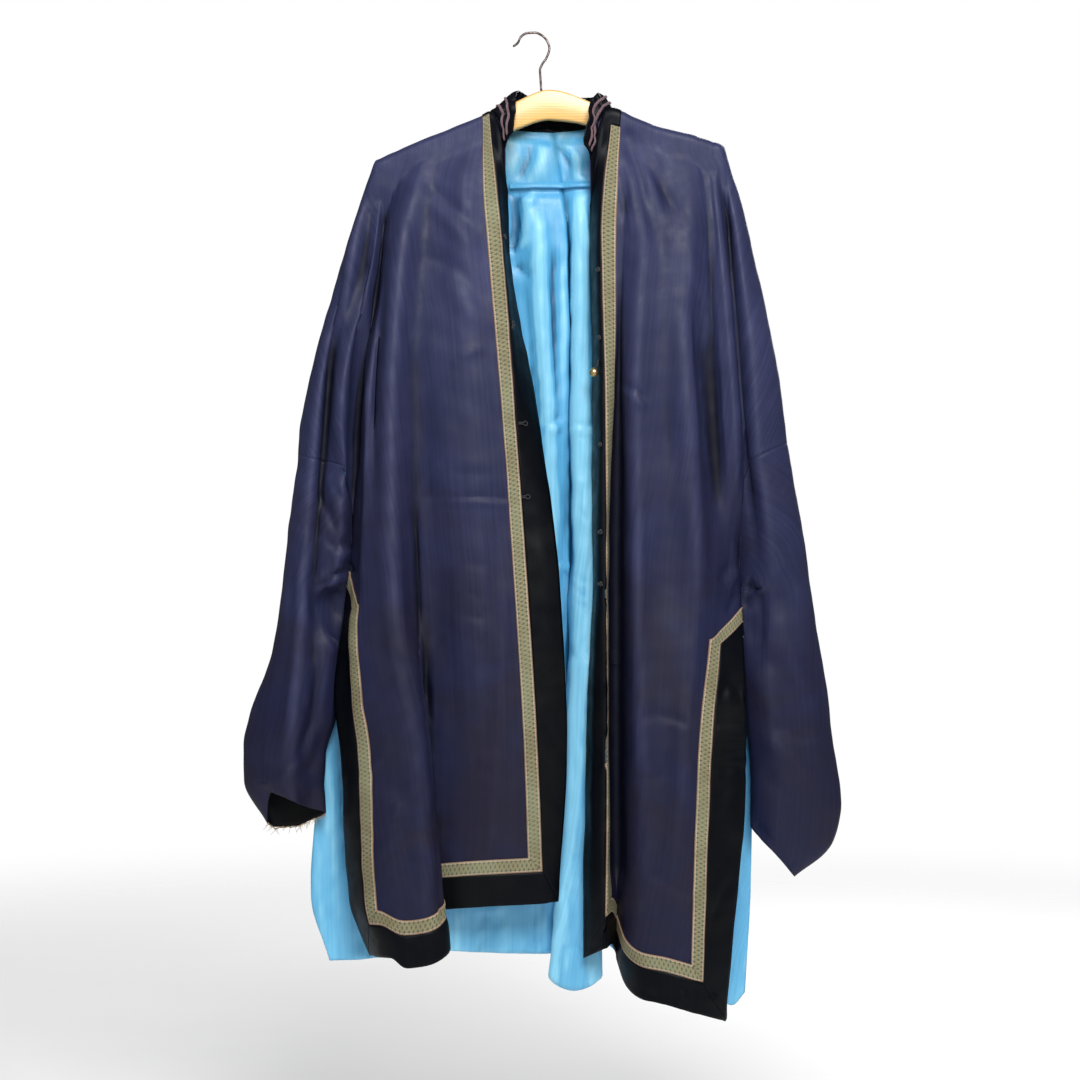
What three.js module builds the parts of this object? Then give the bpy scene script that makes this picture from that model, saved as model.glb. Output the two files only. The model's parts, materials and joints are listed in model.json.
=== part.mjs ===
// A Chinese silk robe, open down the front, hanging on a wooden clothes hanger.
// Millimetres, +Z up. The robe faces -Y and +X is to the right of someone who faces it.
// The origin is the inner top of the hanger's wire hook, where a nail or rail carries it.
//
// The cloth is one surface, laid out as fold lines that hang from the shoulders. Every cut
// piece is a thin wall on its own part of that surface, and keeps a seam gap to its neighbours.

import * as THREE from 'three';
import { mergeVertices } from 'three/addons/utils/BufferGeometryUtils.js';

// ---------------------------------------------------------------- driving dimensions

const SEAM_GAP = 0.3; // between two pieces that are sewn together
const GROWTH_EASE = 0.12; // softens how a layer reaches out at a sharp fold
const MOST_GROWTH = 2.2;
const SILK = { from: 0, to: 1.2 }; // the outer silk, measured out from the cloth surface
const SLEEVE_SILK = { ...SILK, ease: 0.5 }; // the sleeve seam turns sharply under the arm
const BORDER = { from: 1.5, to: 2.4 }; // black satin border, on the silk
const RIBBON = { from: 1.5, to: 2.5 }; // woven ribbon, on the silk beside the border
const LINING = { from: -1.2, to: -0.3 }; // pale blue lining, inside the back
const COLLAR = { from: 0, to: 1.2 };
const PIPING = { from: 1.5, to: 3.4 };

const BORDER_WIDTH = 40;
const RIBBON_WIDTH = 18;
const TRIM_WIDTH = BORDER_WIDTH + RIBBON_WIDTH;

const LEVEL_Z = { bust: -260, waist: -490, hip: -690, thigh: -900, knee: -1095 };

const SHOULDER_ROLL = { depth: 10, radius: 8, reach: 120 }; // how the cloth rolls over the hanger

const HOOK_WIRE = 3; // diameter
const HANGER_THICKNESS = 13;
const HANGER_CLEARANCE = 2.2; // under the cloth of the shoulders
const BUTTON_DIAMETER = 11.7;
const KNOT_RADIUS = 3.4;
const STRAP_RADIUS = 1.7;

// ---------------------------------------------------------------- fold lines
// Each row is a line down the cloth, from the front edge or the centre back out to the side,
// with its x and y at each level, and its z too at the ends. The body lines run to the hem.

const LEFT_FRONT_BODY = {
  //              top               bust         waist        hip          thigh        hem
  centreEdge:    [[-32, -14, -148], [-29, 4],    [8, -12],    [35, -36],   [45, -38],   [33, -34, -1096]],
  borderMiddle:  [[-43, -12, -108], [-34, -12],  [-5, -28],   [14, -42],   [27, -43],   [24, -42, -1096]],
  ribbonInner:   [[-53, 0, -101],   [-38, -28],  [-20, -39],  [-5, -43],   [8, -46],    [16, -46, -1097]],
  ribbonOuter:   [[-61, 0, -105],   [-56, -31],  [-36, -42],  [-22, -44],  [-9, -47],   [-2, -47, -1098]],
  chestRidge:    [[-75, 0, -111],   [-84, -36],  [-76, -50],  [-66, -52],  [-58, -50],  [-49, -48, -1100]],
  foldUnder:     [[-93, 0, -118],   [-112, -31], [-119, -42], [-132, -32], [-132, -34], [-124, -34, -1113]],
  foldEdge:      [[-109, 0, -125],  [-132, -28], [-144, -38], [-144, -32], [-121, -60], [-103, -64, -1151]],
  sideRidge:     [[-128, 0, -132],  [-158, -38], [-174, -52], [-169, -60], [-144, -74], [-128, -84, -1167]],
  sideValley:    [[-147, 0, -140],  [-175, -26], [-195, -36], [-193, -54], [-173, -72], [-152, -84, -1170]],
  slitRibbonIn:  [[-163, 0, -147],  [-180, -18], [-204, -40], [-212, -42], [-199, -62], [-171, -76, -1159]],
  slitRibbonOut: [[-169, 0, -150],  [-183, -12], [-209, -28], [-217, -26], [-215, -52], [-183, -64, -1160]],
  slitMiddle:    [[-174, 0, -152],  [-185, -8],  [-213, -16], [-219, -12], [-228, -36], [-192, -48, -1162]],
  slitEdge:      [[-179, 0, -154],  [-187, -5],  [-218, -4],  [-220, 2],   [-240, -18], [-201, -30, -1164]],
};

const RIGHT_FRONT_BODY = {
  //              top              bust        waist       hip         thigh       hem
  centreEdge:    [[74, -20, -164], [77, 4],    [80, -4],   [80, -8],   [71, -20],  [67, -24, -1169]],
  borderMiddle:  [[91, -12, -104], [80, -14],  [84, -24],  [84, -28],  [80, -38],  [79, -42, -1160]],
  ribbonInner:   [[103, 0, -96],   [89, -32],  [93, -42],  [93, -46],  [94, -52],  [92, -54, -1152]],
  ribbonOuter:   [[114, 0, -99],   [107, -34], [105, -34], [100, -30], [99, -35],  [99, -37, -1149]],
  deepValley:    [[130, 0, -107],  [115, -34], [110, -25], [108, -13], [108, -13], [108, -14, -1168]],
  foldEdge:      [[145, 0, -113],  [124, -38], [115, -38], [118, -38], [119, -44], [118, -48, -1197]],
  chestRidge:    [[160, 0, -119],  [140, -42], [134, -52], [133, -58], [135, -68], [139, -78, -1210]],
  middle:        [[176, 0, -123],  [167, -34], [167, -48], [166, -54], [165, -72], [164, -88, -1214]],
  sideRidge:     [[193, 0, -127],  [197, -36], [201, -52], [206, -54], [189, -74], [183, -90, -1219]],
  slitRibbonIn:  [[206, 0, -130],  [215, -28], [221, -30], [227, -38], [207, -70], [195, -90, -1223]],
  slitRibbonOut: [[213, 0, -133],  [224, -22], [233, -24], [241, -24], [224, -64], [210, -84, -1228]],
  slitMiddle:    [[220, 0, -135],  [231, -22], [243, -30], [254, -12], [245, -58], [225, -74, -1234]],
  slitEdge:      [[226, 0, -137],  [237, -24], [255, -30], [265, 0],   [268, -50], [241, -60, -1240]],
};

// The slits' edges turn at the knee too.
const LEFT_FRONT_KNEES = {
  slitRibbonIn: [-190, -71],
  slitRibbonOut: [-205, -60],
  slitMiddle: [-216, -43],
  slitEdge: [-227, -22],
};
const LEFT_BACK_KNEES = { slitMiddle: [-261, 26], slitEdge: [-282, 25] };
const RIGHT_BACK_KNEES = { slitEdge: [281, 25] };

// The backs hang from the same places on the shoulders, so their first three columns of the
// neck are given here, and the tops of the rest come from the fronts.
const LEFT_BACK_BODY = {
  //              top              bust        waist       hip         thigh       hem
  centreBack:    [[28, 24, -122],  [47, 18],   [51, 22],   [50, 24],   [46, 24],   [45, 26, -1172]],
  neckRidge:     [[-14, 22, -120], [11, 12],   [28, 10],   [25, 15],   [18, 18],   [9, 20, -1171]],
  neckSide:      [[-44, 16, -108], [-21, 20],  [-1, 22],   [-12, 24],  [-21, 22],  [-30, 18, -1170]],
  neckPoint:     [null,            [-50, 20],  [-36, 22],  [-47, 22],  [-59, 26],  [-66, 26, -1170]],
  innerRidge:    [null,            [-78, 16],  [-73, 20],  [-83, 24],  [-91, 22],  [-97, 22, -1168]],
  innerValley:   [null,            [-104, 20], [-107, 26], [-116, 18], [-119, 28], [-125, 34, -1171]],
  bladeRidge:    [null,            [-125, 14], [-132, 18], [-142, 22], [-143, 30], [-145, 28, -1173]],
  bladeValley:   [null,            [-142, 18], [-154, 24], [-162, 16], [-163, 20], [-161, 22, -1174]],
  sideRidge:     [null,            [-157, 12], [-171, 17], [-178, 20], [-179, 34], [-178, 36, -1178]],
  sideValley:    [null,            [-169, 16], [-187, 22], [-190, 16], [-194, 28], [-193, 30, -1178]],
  slitRibbonIn:  [null,            [-179, 13], [-200, 19], [-203, 13], [-209, 30], [-208, 34, -1180]],
  slitRibbonOut: [null,            [-184, 12], [-207, 18], [-209, 14], [-225, 28], [-224, 30, -1181]],
  slitMiddle:    [null,            [-187, 11], [-213, 16], [-215, 12], [-245, 26], [-242, 27, -1181]],
  slitEdge:      [null,            [-191, 10], [-221, 14], [-220, 12], [-265, 25], [-258, 23, -1181]],
};

// On the right the lining comes forward between the fronts, as a tongue that hangs lower.
const RIGHT_BACK_BODY = {
  //              top             bust       waist      hip        thigh      hem
  centreBack:    [[28, 24, -122], [47, 18],  [51, 22],  [50, 24],  [46, 24],  [45, 26, -1172]],
  tongueLeft:    [[69, 22, -118], [62, 10],  [59, 8],   [60, 8],   [55, 0],   [27, -2, -1201]],
  tongueMiddle:  [[94, 16, -104], [78, 18],  [73, 10],  [78, 6],   [67, -6],  [54, -10, -1214]],
  tongueRight:   [null,           [93, 20],  [88, 22],  [96, 22],  [80, 2],   [82, -4, -1202]],
  tongueUnder:   [null,           [111, 14], [106, 26], [111, 26], [68, 14],  [62, 14, -1182]],
  innerValley:   [null,           [129, 20], [124, 18], [129, 20], [93, 26],  [96, 28, -1161]],
  bladeRidge:    [null,           [147, 14], [142, 24], [147, 26], [116, 24], [122, 26, -1184]],
  bladeValley:   [null,           [165, 20], [160, 18], [165, 20], [140, 26], [146, 30, -1198]],
  sideRidge:     [null,           [182, 14], [179, 26], [186, 26], [162, 22], [169, 26, -1204]],
  sideValley:    [null,           [201, 18], [199, 20], [209, 22], [186, 28], [192, 30, -1214]],
  slitRibbonIn:  [null,           [213, 13], [216, 18], [231, 17], [214, 26], [215, 28, -1224]],
  slitRibbonOut: [null,           [222, 12], [226, 17], [244, 16], [232, 28], [236, 26, -1230]],
  slitMiddle:    [null,           [230, 12], [236, 16], [256, 14], [258, 28], [257, 24, -1238]],
  slitEdge:      [null,           [237, 11], [246, 15], [267, 14], [284, 26], [273, 20, -1221]],
};

// The upper sleeves are cut in one with the body and end at the sleeve seam.
const LEFT_UPPER_SLEEVE = {
  //             top              bust         waist        seam               back y: bust, waist, seam
  innerRidge:   [[-185, 0, -157], [-196, -14], [-238, -26], [-234, -24, -552], [12, 14, 13]],
  middleValley: [[-191, 0, -160], [-209, -9],  [-258, -12], [-259, -12, -543], [8, 12, 15]],
  outerRidge:   [[-196, 0, -162], [-223, -12], [-270, -18], [-275, -18, -540], [7, 10, 11]],
  outerEdge:    [[-199, 0, -167], [-230, 0],   [-290, 0],   [-295, 0, -535],   [0, 0, 0]],
};

const RIGHT_UPPER_SLEEVE = {
  //             top             bust        waist       seam              back y: bust, waist, seam
  innerRidge:   [[231, 0, -139], [251, -8],  [270, -12], [273, -12, -546], [10, 13, 13]],
  middleValley: [[236, 0, -140], [260, -16], [284, -24], [286, -24, -537], [9, 14, 15]],
  outerRidge:   [[241, 0, -142], [269, -11], [303, -18], [305, -18, -528], [7, 10, 11]],
  outerEdge:    [[245, 0, -145], [277, 0],   [321, 0],   [324, 0, -520],   [0, 0, 0]],
};

// The lower sleeves: x, y and z of each line at each ring, and how far back the back hangs.
const LEFT_LOWER_SLEEVE = {
  //        inner edge        inner ridge        middle             outer ridge        outer edge
  fold:    [[-228, 8, -684],  [-249, -22, -693], [-277, -22, -681], [-299, -18, -671], [-310, 0, -662]],
  crook:   [[-232, 12, -725], [-274, -2, -725],  [-289, -20, -719], [-306, -20, -716], [-317, 0, -722]],
  elbow:   [[-243, 8, -801],  [-254, -12, -788], [-286, -24, -788], [-311, -20, -788], [-331, 0, -797]],
  forearm: [[-248, 6, -863],  [-271, -18, -860], [-298, -30, -859], [-329, -20, -860], [-354, 0, -861]],
  wrist:   [[-261, 2, -916],  [-278, -16, -914], [-302, -32, -913], [-339, -22, -914], [-364, 0, -907]],
  heel:    [[-262, 0, -954],  [-278, -12, -953], [-305, -32, -947], [-339, -22, -943], [-364, 0, -948]],
  cuff:    [[-261, -2, -989], [-281, -8, -982],  [-299, -30, -971], [-327, -20, -961], [-335, 0, -1001]],
};

const RIGHT_LOWER_SLEEVE = {
  //        inner edge        inner ridge       middle             outer ridge        outer edge
  fold:    [[270, 2, -707],   [290, -20, -702], [307, -26, -683],  [329, -20, -668],  [347, 0, -656]],
  crook:   [[272, 2, -722],   [285, -6, -721],  [309, -18, -719],  [336, -18, -716],  [356, 0, -719]],
  elbow:   [[275, 1, -770],   [282, -12, -776], [304, -24, -782],  [336, -22, -788],  [368, 0, -795]],
  forearm: [[278, 1, -853],   [286, -16, -858], [311, -26, -863],  [347, -22, -870],  [383, 0, -901]],
  wrist:   [[279, 0, -929],   [291, -14, -934], [316, -24, -945],  [354, -20, -958],  [393, 0, -978]],
  heel:    [[280, 0, -973],   [290, -12, -982], [312, -20, -999],  [344, -16, -1013], [383, 0, -1024]],
  cuff:    [[280, -2, -1007], [290, -8, -1020], [304, -12, -1035], [320, -10, -1053], [334, 0, -1070]],
};

const SLEEVE_BACK_Y = [13, 16, 12]; // of the inner, middle and outer line on the back
const LEFT_CUFF_BACK_DROP = [18, 37, 48]; // the back of the left cuff hangs below its front
const RIGHT_CUFF_BACK_DROP = [0, 0, 0];

// Rows across the cloth. The heights of the slit's slanted top are given at the ribbon's
// inner line and at the side seam.
const SHOULDER_DROPS = [0, 4, 22];
const OPEN_LEVELS = [-270, -370, -475, -580];
const SKIRT_LEVELS = [-800, -930];
const HEM_RISES = [TRIM_WIDTH, BORDER_WIDTH, BORDER_WIDTH / 2, 0];
const LEFT_SIDE = { underarm: -653, trimTop: [-724, -683], trimBottom: [-742, -702], ribbonStart: 1 };
const RIGHT_SIDE = { underarm: -693, trimTop: [-767, -728], trimBottom: [-785, -747], ribbonStart: 2 };
const SLIT_SLANT = { slitRibbonIn: 0, slitRibbonOut: 0.31, slitMiddle: 0.66, slitEdge: 1 };

// The stand collar, from the left front round the back to the right front.
const COLLAR_TOPS = {
  leftEnd: [-22, -34, -131],
  leftFront: [-19, -16, -89],
  leftShoulder: [-17, -4, -75],
  leftBack: [-13, 14, -71],
  leftNape: [0, 21, -76],
  nape: [28, 23, -77],
  rightNape: [61, 21, -77],
  rightBack: [79, 15, -78],
  rightShoulder: [85, -3, -76],
  rightFront: [76, -18, -88],
  rightEnd: [65, -44, -149],
};
const COLLAR_ROWS = [0, 0.26, 0.34, 0.58, 0.66, 1];
const PIPING_ROWS = [1, 3]; // the rows of the collar that the two pipings lie on

const LINED_COLUMNS = 5; // of each back, above the underarm
const LINING_STRIP = { past: 4, lastRow: 3 };

// Cord fastenings on the front borders: strap length and turn from straight across.
const LEFT_FROGS = [
  { x: -35, z: -261, length: 8 },
  { x: -24, z: -375, length: 8, turn: 1.2 },
  { x: -12, z: -497, length: 10 },
  { x: -8, z: -589, length: 8 },
];
const RIGHT_FROGS = [
  { x: 84, z: -304, length: 7 },
  { x: 86, z: -390, length: 7 },
  { x: 87, z: -524, length: 7 },
  { x: 87, z: -633, length: 7 },
  { x: 87, z: -698, length: 7 },
];
const FROG_THICKNESS = 2.4;
const CORD_RISE = 0.6; // of the cords over the border
const BUTTON = { x: 85, z: -433 };

const HANGER_BEVEL = 3;
const HANGER_TIPS = { left: [-188, -161.5], right: [233, -141.5] };
const HANGER_CROWN = [[-50, -108], [-17, -86], [23, -72], [76, -88], [98, -103]]; // the raised middle
const HANGER_DEPTHS = [
  // x, and how deep the wood is there
  [-188, 12], [-120, 19], [-53, 29], [-22, 35], [28, 38], [71, 31], [103, 27], [170, 19], [233, 12],
];
const HOOK = {
  shank: [[13.2, -74.5], [12, -56], [11.4, -46.4], [14, -39.4], [19.8, -30.5]],
  crown: { centre: [1.5, -20.5], radius: 22, angles: [5, 30, 55, 80, 105, 128] },
  tip: [[-17, -12], [-22.9, -16.5]],
};

// ---------------------------------------------------------------- smooth curves

// A smooth curve through values at rising places, with no overshoot between them.
function smoothThrough(places, values) {
  const last = places.length - 1;
  const steps = places.slice(1).map((place, i) => place - places[i]);
  const slopes = steps.map((step, i) => (values[i + 1] - values[i]) / step);
  const tangents = values.map((_, i) => {
    if (i === 0) return slopes[0];
    if (i === last) return slopes[last - 1];
    if (slopes[i - 1] * slopes[i] <= 0) return 0;
    const before = 2 * steps[i] + steps[i - 1];
    const after = steps[i] + 2 * steps[i - 1];
    return (before + after) / (before / slopes[i - 1] + after / slopes[i]);
  });
  return (place) => {
    let i = 0;
    while (i < last - 1 && place > places[i + 1]) i += 1;
    const t = (place - places[i]) / steps[i];
    const u = 1 - t;
    const start = (1 + 2 * t) * u * u * values[i] + t * u * u * steps[i] * tangents[i];
    const end = t * t * (3 - 2 * t) * values[i + 1] - t * t * u * steps[i] * tangents[i + 1];
    return start + end;
  };
}

// A fold line as a function of height.
function foldLine(ends, levels) {
  const knots = [...levels].sort((a, b) => a.z - b.z);
  const heights = knots.map((knot) => knot.z);
  return {
    top: ends.top,
    bottom: ends.bottom,
    x: smoothThrough(heights, knots.map((knot) => knot.x)),
    y: smoothThrough(heights, knots.map((knot) => knot.y)),
  };
}

function bodyLine(row, top, knee) {
  const [first, bust, waist, hip, thigh, hem] = row;
  const [topX, topY, topZ] = top ?? first;
  const [hemX, hemY, hemZ] = hem;
  const levels = [
    { x: topX, y: topY, z: topZ },
    { x: bust[0], y: bust[1], z: LEVEL_Z.bust },
    { x: waist[0], y: waist[1], z: LEVEL_Z.waist },
    { x: hip[0], y: hip[1], z: LEVEL_Z.hip },
    { x: thigh[0], y: thigh[1], z: LEVEL_Z.thigh },
    { x: hemX, y: hemY, z: hemZ },
  ];
  if (knee) levels.push({ x: knee[0], y: knee[1], z: LEVEL_Z.knee });
  return foldLine({ top: topZ, bottom: hemZ }, levels);
}

function sleeveLine(row, isBack) {
  const [top, bust, waist, seam, backY] = row;
  const y = isBack ? backY : [bust[1], waist[1], seam[1]];
  return foldLine({ top: top[2], bottom: seam[2] }, [
    { x: top[0], y: 0, z: top[2] },
    { x: bust[0], y: y[0], z: LEVEL_Z.bust },
    { x: waist[0], y: y[1], z: LEVEL_Z.waist },
    { x: seam[0], y: y[2], z: seam[2] },
  ]);
}

// How far the cloth stands off the middle of the hanger, a given drop below the shoulder.
function shoulderRoll(drop) {
  const { depth, radius, reach } = SHOULDER_ROLL;
  if (drop >= reach) return 0;
  const over = 1 - Math.min(drop, radius) / radius;
  const down = (Math.max(drop, radius) - radius) / (reach - radius);
  return depth * Math.sqrt(1 - over * over) * (1 - down * down);
}

// ---------------------------------------------------------------- the cloth surface

const SIDES = [LEFT_SIDE, RIGHT_SIDE];
const RIBBON_COLUMN = 2; // of each front, from the centre edge
const BODY_LINES_OF_NECK_AT_BACK = 3;

function rowTable(side) {
  return [
    ...SHOULDER_DROPS.map((drop) => ({ drop })),
    ...OPEN_LEVELS.map((level) => ({ level })),
    { levels: [side.underarm, side.underarm], key: 'underarm' },
    { levels: side.trimTop, key: 'trimTop' },
    { levels: side.trimBottom, key: 'trimBottom' },
    ...SKIRT_LEVELS.map((level) => ({ level })),
    ...HEM_RISES.map((rise) => ({ rise })),
  ];
}

function heightOf(row, line, slant) {
  if (row.drop !== undefined) return line.top - row.drop;
  if (row.rise !== undefined) return line.bottom + row.rise;
  if (row.levels) return row.levels[0] + (row.levels[1] - row.levels[0]) * slant;
  return row.level;
}

// The two backs are sewn together down the centre, so their rows meet there.
function centreBackRows() {
  const [leftRows, rightRows] = SIDES.map(rowTable);
  return leftRows.map((row, r) => {
    if (!row.levels) return row;
    const middle = (row.levels[0] + rightRows[r].levels[0]) / 2;
    return { levels: [middle, middle] };
  });
}

// The points after the first, each with a smooth middle point before it.
function withMiddles(points) {
  const along = [0];
  points.slice(1).forEach((point, i) => along.push(along[i] + point.distanceTo(points[i])));
  const axes = ['x', 'y', 'z'].map((axis) => smoothThrough(along, points.map((p) => p[axis])));
  return points.slice(1).flatMap((point, i) => {
    const middle = (along[i] + along[i + 1]) / 2;
    return [new THREE.Vector3(...axes.map((axis) => axis(middle))), point];
  });
}

// One quarter of the robe: the body columns, then the upper sleeve's columns, which stop at
// the underarm row. Between two sleeve lines there is one more column, for a rounder arm.
function makeQuarter({ body, knees = {}, shoulderTops, upperSleeve, side, isBack, isLeft }) {
  const rows = rowTable(side);
  const underarmRow = rows.findIndex((row) => row.key === 'underarm');
  const names = Object.keys(body);
  const topOf = (i) => (body[names[i]][0] === null ? shoulderTops[names[i]] : body[names[i]][0]);
  const bodyLines = names.map((name, i) => bodyLine(body[name], topOf(i), knees[name]));
  const sleeveLines = Object.values(upperSleeve).map((row) => sleeveLine(row, isBack));
  const sideLine = bodyLines[bodyLines.length - 1];
  const outward = isBack ? 1 : -1;

  const pointOn = (line, z, rollShare) => {
    const roll = shoulderRoll(line.top - z) * rollShare;
    const y = outward * Math.max(outward * line.y(z), roll);
    return new THREE.Vector3(line.x(z), y, z);
  };

  const grid = rows.map((row, r) => {
    const points = bodyLines.map((line, i) => {
      const isCentreBack = isBack && i === 0;
      const ownRow = isCentreBack ? centreBackRows()[r] : row;
      const z = heightOf(ownRow, line, SLIT_SLANT[names[i]] ?? 0);
      return pointOn(line, z, line.y(line.top) === 0 ? 1 : 0.5);
    });
    if (r > underarmRow) return points;
    const sidePoint = points[points.length - 1];
    const share = (sidePoint.z - sideLine.top) / (side.underarm - sideLine.top);
    const arm = sleeveLines.map((line, i) => {
      const z = line.top + share * (line.bottom - line.top);
      return pointOn(line, z, [1, 1, 0.8, 0][i]);
    });
    return [...points, ...withMiddles([sidePoint, ...arm])];
  });
  return { grid, underarmRow, sideColumn: names.length - 1, isReversed: isBack === isLeft };
}

// A front's shoulder points, under the names of the back's lines that hang from them.
function shoulderTopsFor(backBody, frontBody) {
  const backNames = Object.keys(backBody).slice(BODY_LINES_OF_NECK_AT_BACK);
  const frontTops = Object.values(frontBody).slice(RIBBON_COLUMN).map((row) => row[0]);
  return Object.fromEntries(backNames.map((name, i) => [name, frontTops[i]]));
}

function makeHalf({ frontBody, frontKnees, backBody, backKnees, upperSleeve, side, isLeft }) {
  const shoulderTops = shoulderTopsFor(backBody, frontBody);
  const shared = { upperSleeve, side, isLeft };
  const front = makeQuarter({ body: frontBody, knees: frontKnees, isBack: false, ...shared });
  const back = makeQuarter({ body: backBody, knees: backKnees, shoulderTops, isBack: true, ...shared });
  for (let r = front.underarmRow; r <= front.underarmRow + 2; r += 1) {
    back.grid[r][back.sideColumn] = front.grid[r][front.sideColumn].clone();
  }
  return { front, back };
}

const left = makeHalf({
  frontBody: LEFT_FRONT_BODY,
  frontKnees: LEFT_FRONT_KNEES,
  backBody: LEFT_BACK_BODY,
  backKnees: LEFT_BACK_KNEES,
  upperSleeve: LEFT_UPPER_SLEEVE,
  side: LEFT_SIDE,
  isLeft: true,
});
const right = makeHalf({
  frontBody: RIGHT_FRONT_BODY,
  backBody: RIGHT_BACK_BODY,
  backKnees: RIGHT_BACK_KNEES,
  upperSleeve: RIGHT_UPPER_SLEEVE,
  side: RIGHT_SIDE,
  isLeft: false,
});

// A lower sleeve as rings of points, from the sleeve seam to the cuff. Each ring runs along
// the front from the inner edge to the outer edge, then along the back.
function sleeveRings(half, table, cuffDrop) {
  const { front, back } = half;
  const seamFront = front.grid[front.underarmRow].slice(front.sideColumn);
  const seamBack = back.grid[back.underarmRow].slice(back.sideColumn + 1, -1);
  const seam = [...seamFront, ...seamBack.reverse()];
  const rings = Object.entries(table).map(([ring, lines]) => {
    const isCuff = ring === 'cuff';
    const points = lines.map((line) => new THREE.Vector3(...line));
    const backs = points.map((point, k) => {
      if (k === 0 || k === points.length - 1) return point.clone();
      const drop = isCuff ? cuffDrop[k - 1] : 0;
      return new THREE.Vector3(point.x, SLEEVE_BACK_Y[k - 1], point.z - drop);
    });
    const alongFront = [points[0], ...withMiddles(points)];
    const alongBack = withMiddles(backs).slice(0, -1);
    return [...alongFront, ...alongBack.reverse()];
  });
  return [seam, ...rings];
}

const leftSleeve = sleeveRings(left, LEFT_LOWER_SLEEVE, LEFT_CUFF_BACK_DROP);
const rightSleeve = sleeveRings(right, RIGHT_LOWER_SLEEVE, RIGHT_CUFF_BACK_DROP);

// The collar stands on the neck edges of the fronts and backs.
function collarGrid() {
  const frontEdge = RIBBON_COLUMN + 1;
  const backEdge = BODY_LINES_OF_NECK_AT_BACK;
  const neck = [
    ...left.front.grid[0].slice(0, frontEdge),
    ...left.back.grid[0].slice(0, backEdge).reverse(),
    ...right.back.grid[0].slice(1, backEdge),
    ...right.front.grid[0].slice(0, frontEdge).reverse(),
  ];
  const collarTops = Object.values(COLLAR_TOPS).map((top) => new THREE.Vector3(...top));
  return COLLAR_ROWS.map((share) => neck.map((point, i) => point.clone().lerp(collarTops[i], share)));
}

const collar = collarGrid();

// ---------------------------------------------------------------- the welded surface

const surface = { points: [], facing: [], indexOf: new Map() };

function weld(point) {
  const key = [point.x, point.y, point.z].map((value) => Math.round(value * 1000) || 0).join();
  if (!surface.indexOf.has(key)) {
    surface.indexOf.set(key, surface.points.length);
    surface.points.push(point);
    surface.facing.push([]);
  }
  return surface.indexOf.get(key);
}

// The two triangles of a cell. The first touches the cell's upright side and the second its
// foot, for corners that are mitred; mirrored cells have their upright side after them.
function cellTriangles(grid, r, c, isMirrored, isReversed) {
  const next = (c + 1) % grid[r].length;
  const [topNear, topFar] = [weld(grid[r][c]), weld(grid[r][next])];
  const [lowNear, lowFar] = [weld(grid[r + 1][c]), weld(grid[r + 1][next])];
  const halves = isMirrored
    ? [[topNear, lowFar, topFar], [topNear, lowNear, lowFar]]
    : [[topNear, lowNear, topFar], [lowNear, lowFar, topFar]];
  return halves.map(([a, b, d]) => (isReversed ? [a, b, d] : [a, d, b]));
}

// Each triangle's facing counts at a corner as much as the corner's angle.
function recordFacing(triangles) {
  triangles.forEach((triangle) => {
    triangle.forEach((index, i) => {
      const corner = surface.points[index];
      const along = surface.points[triangle[(i + 1) % 3]].clone().sub(corner);
      const back = surface.points[triangle[(i + 2) % 3]].clone().sub(corner);
      const normal = along.clone().cross(back).normalize();
      surface.facing[index].push({ normal, angle: along.angleTo(back) });
    });
  });
}

// The vector whose parts along the given directions come nearest to the wanted lengths.
function leastSquares(rows, ease) {
  const sums = new Array(9).fill(0);
  const target = new THREE.Vector3();
  rows.forEach(({ direction, length, weight }) => {
    const parts = direction.toArray();
    for (let i = 0; i < 9; i += 1) sums[i] += weight * parts[Math.floor(i / 3)] * parts[i % 3];
    target.addScaledVector(direction, weight * length);
  });
  [0, 4, 8].forEach((i) => { sums[i] += ease; });
  return target.applyMatrix3(new THREE.Matrix3(...sums).invert());
}

// How far a point moves for each millimetre that a layer stands off its faces. Under the arm
// the faces look every way, and the cloth grows downwards there.
function growth(index) {
  if (underarms.includes(index)) return new THREE.Vector3(0, 0, -1);
  const rows = surface.facing[index].map(({ normal, angle }) => (
    { direction: normal, length: 1, weight: angle }
  ));
  return leastSquares(rows, GROWTH_EASE).clampLength(1, MOST_GROWTH);
}

function quarterCells(quarter) {
  const { grid, sideColumn, isReversed } = quarter;
  const isMirrored = (c) => c >= sideColumn / 2 && c < sideColumn;
  const at = (r, c) => cellTriangles(grid, r, c, isMirrored(c), isReversed);
  const last = grid.length - 1;
  const all = [];
  for (let r = 0; r < last; r += 1) {
    const columns = r < quarter.underarmRow ? grid[r].length - 1 : sideColumn;
    for (let c = 0; c < columns; c += 1) all.push(...at(r, c));
  }
  return { at, all, last };
}

function loopCells(rings, isReversed) {
  const at = (r, c) => cellTriangles(rings, r, c, false, isReversed);
  const all = [];
  for (let r = 0; r < rings.length - 1; r += 1) {
    for (let c = 0; c < rings[r].length; c += 1) all.push(...at(r, c));
  }
  return { at, all };
}

function stripCells(grid, isReversed) {
  const at = (r, c) => cellTriangles(grid, r, c, false, isReversed);
  const all = [];
  for (let r = 0; r < grid.length - 1; r += 1) {
    for (let c = 0; c < grid[r].length - 1; c += 1) all.push(...at(r, c));
  }
  return { at, all };
}

// The triangles of a run of rows and columns.
function block(cells, [rowFrom, rowTo], [columnFrom, columnTo]) {
  const triangles = [];
  for (let r = rowFrom; r < rowTo; r += 1) {
    for (let c = columnFrom; c < columnTo; c += 1) triangles.push(...cells.at(r, c));
  }
  return triangles;
}

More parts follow.
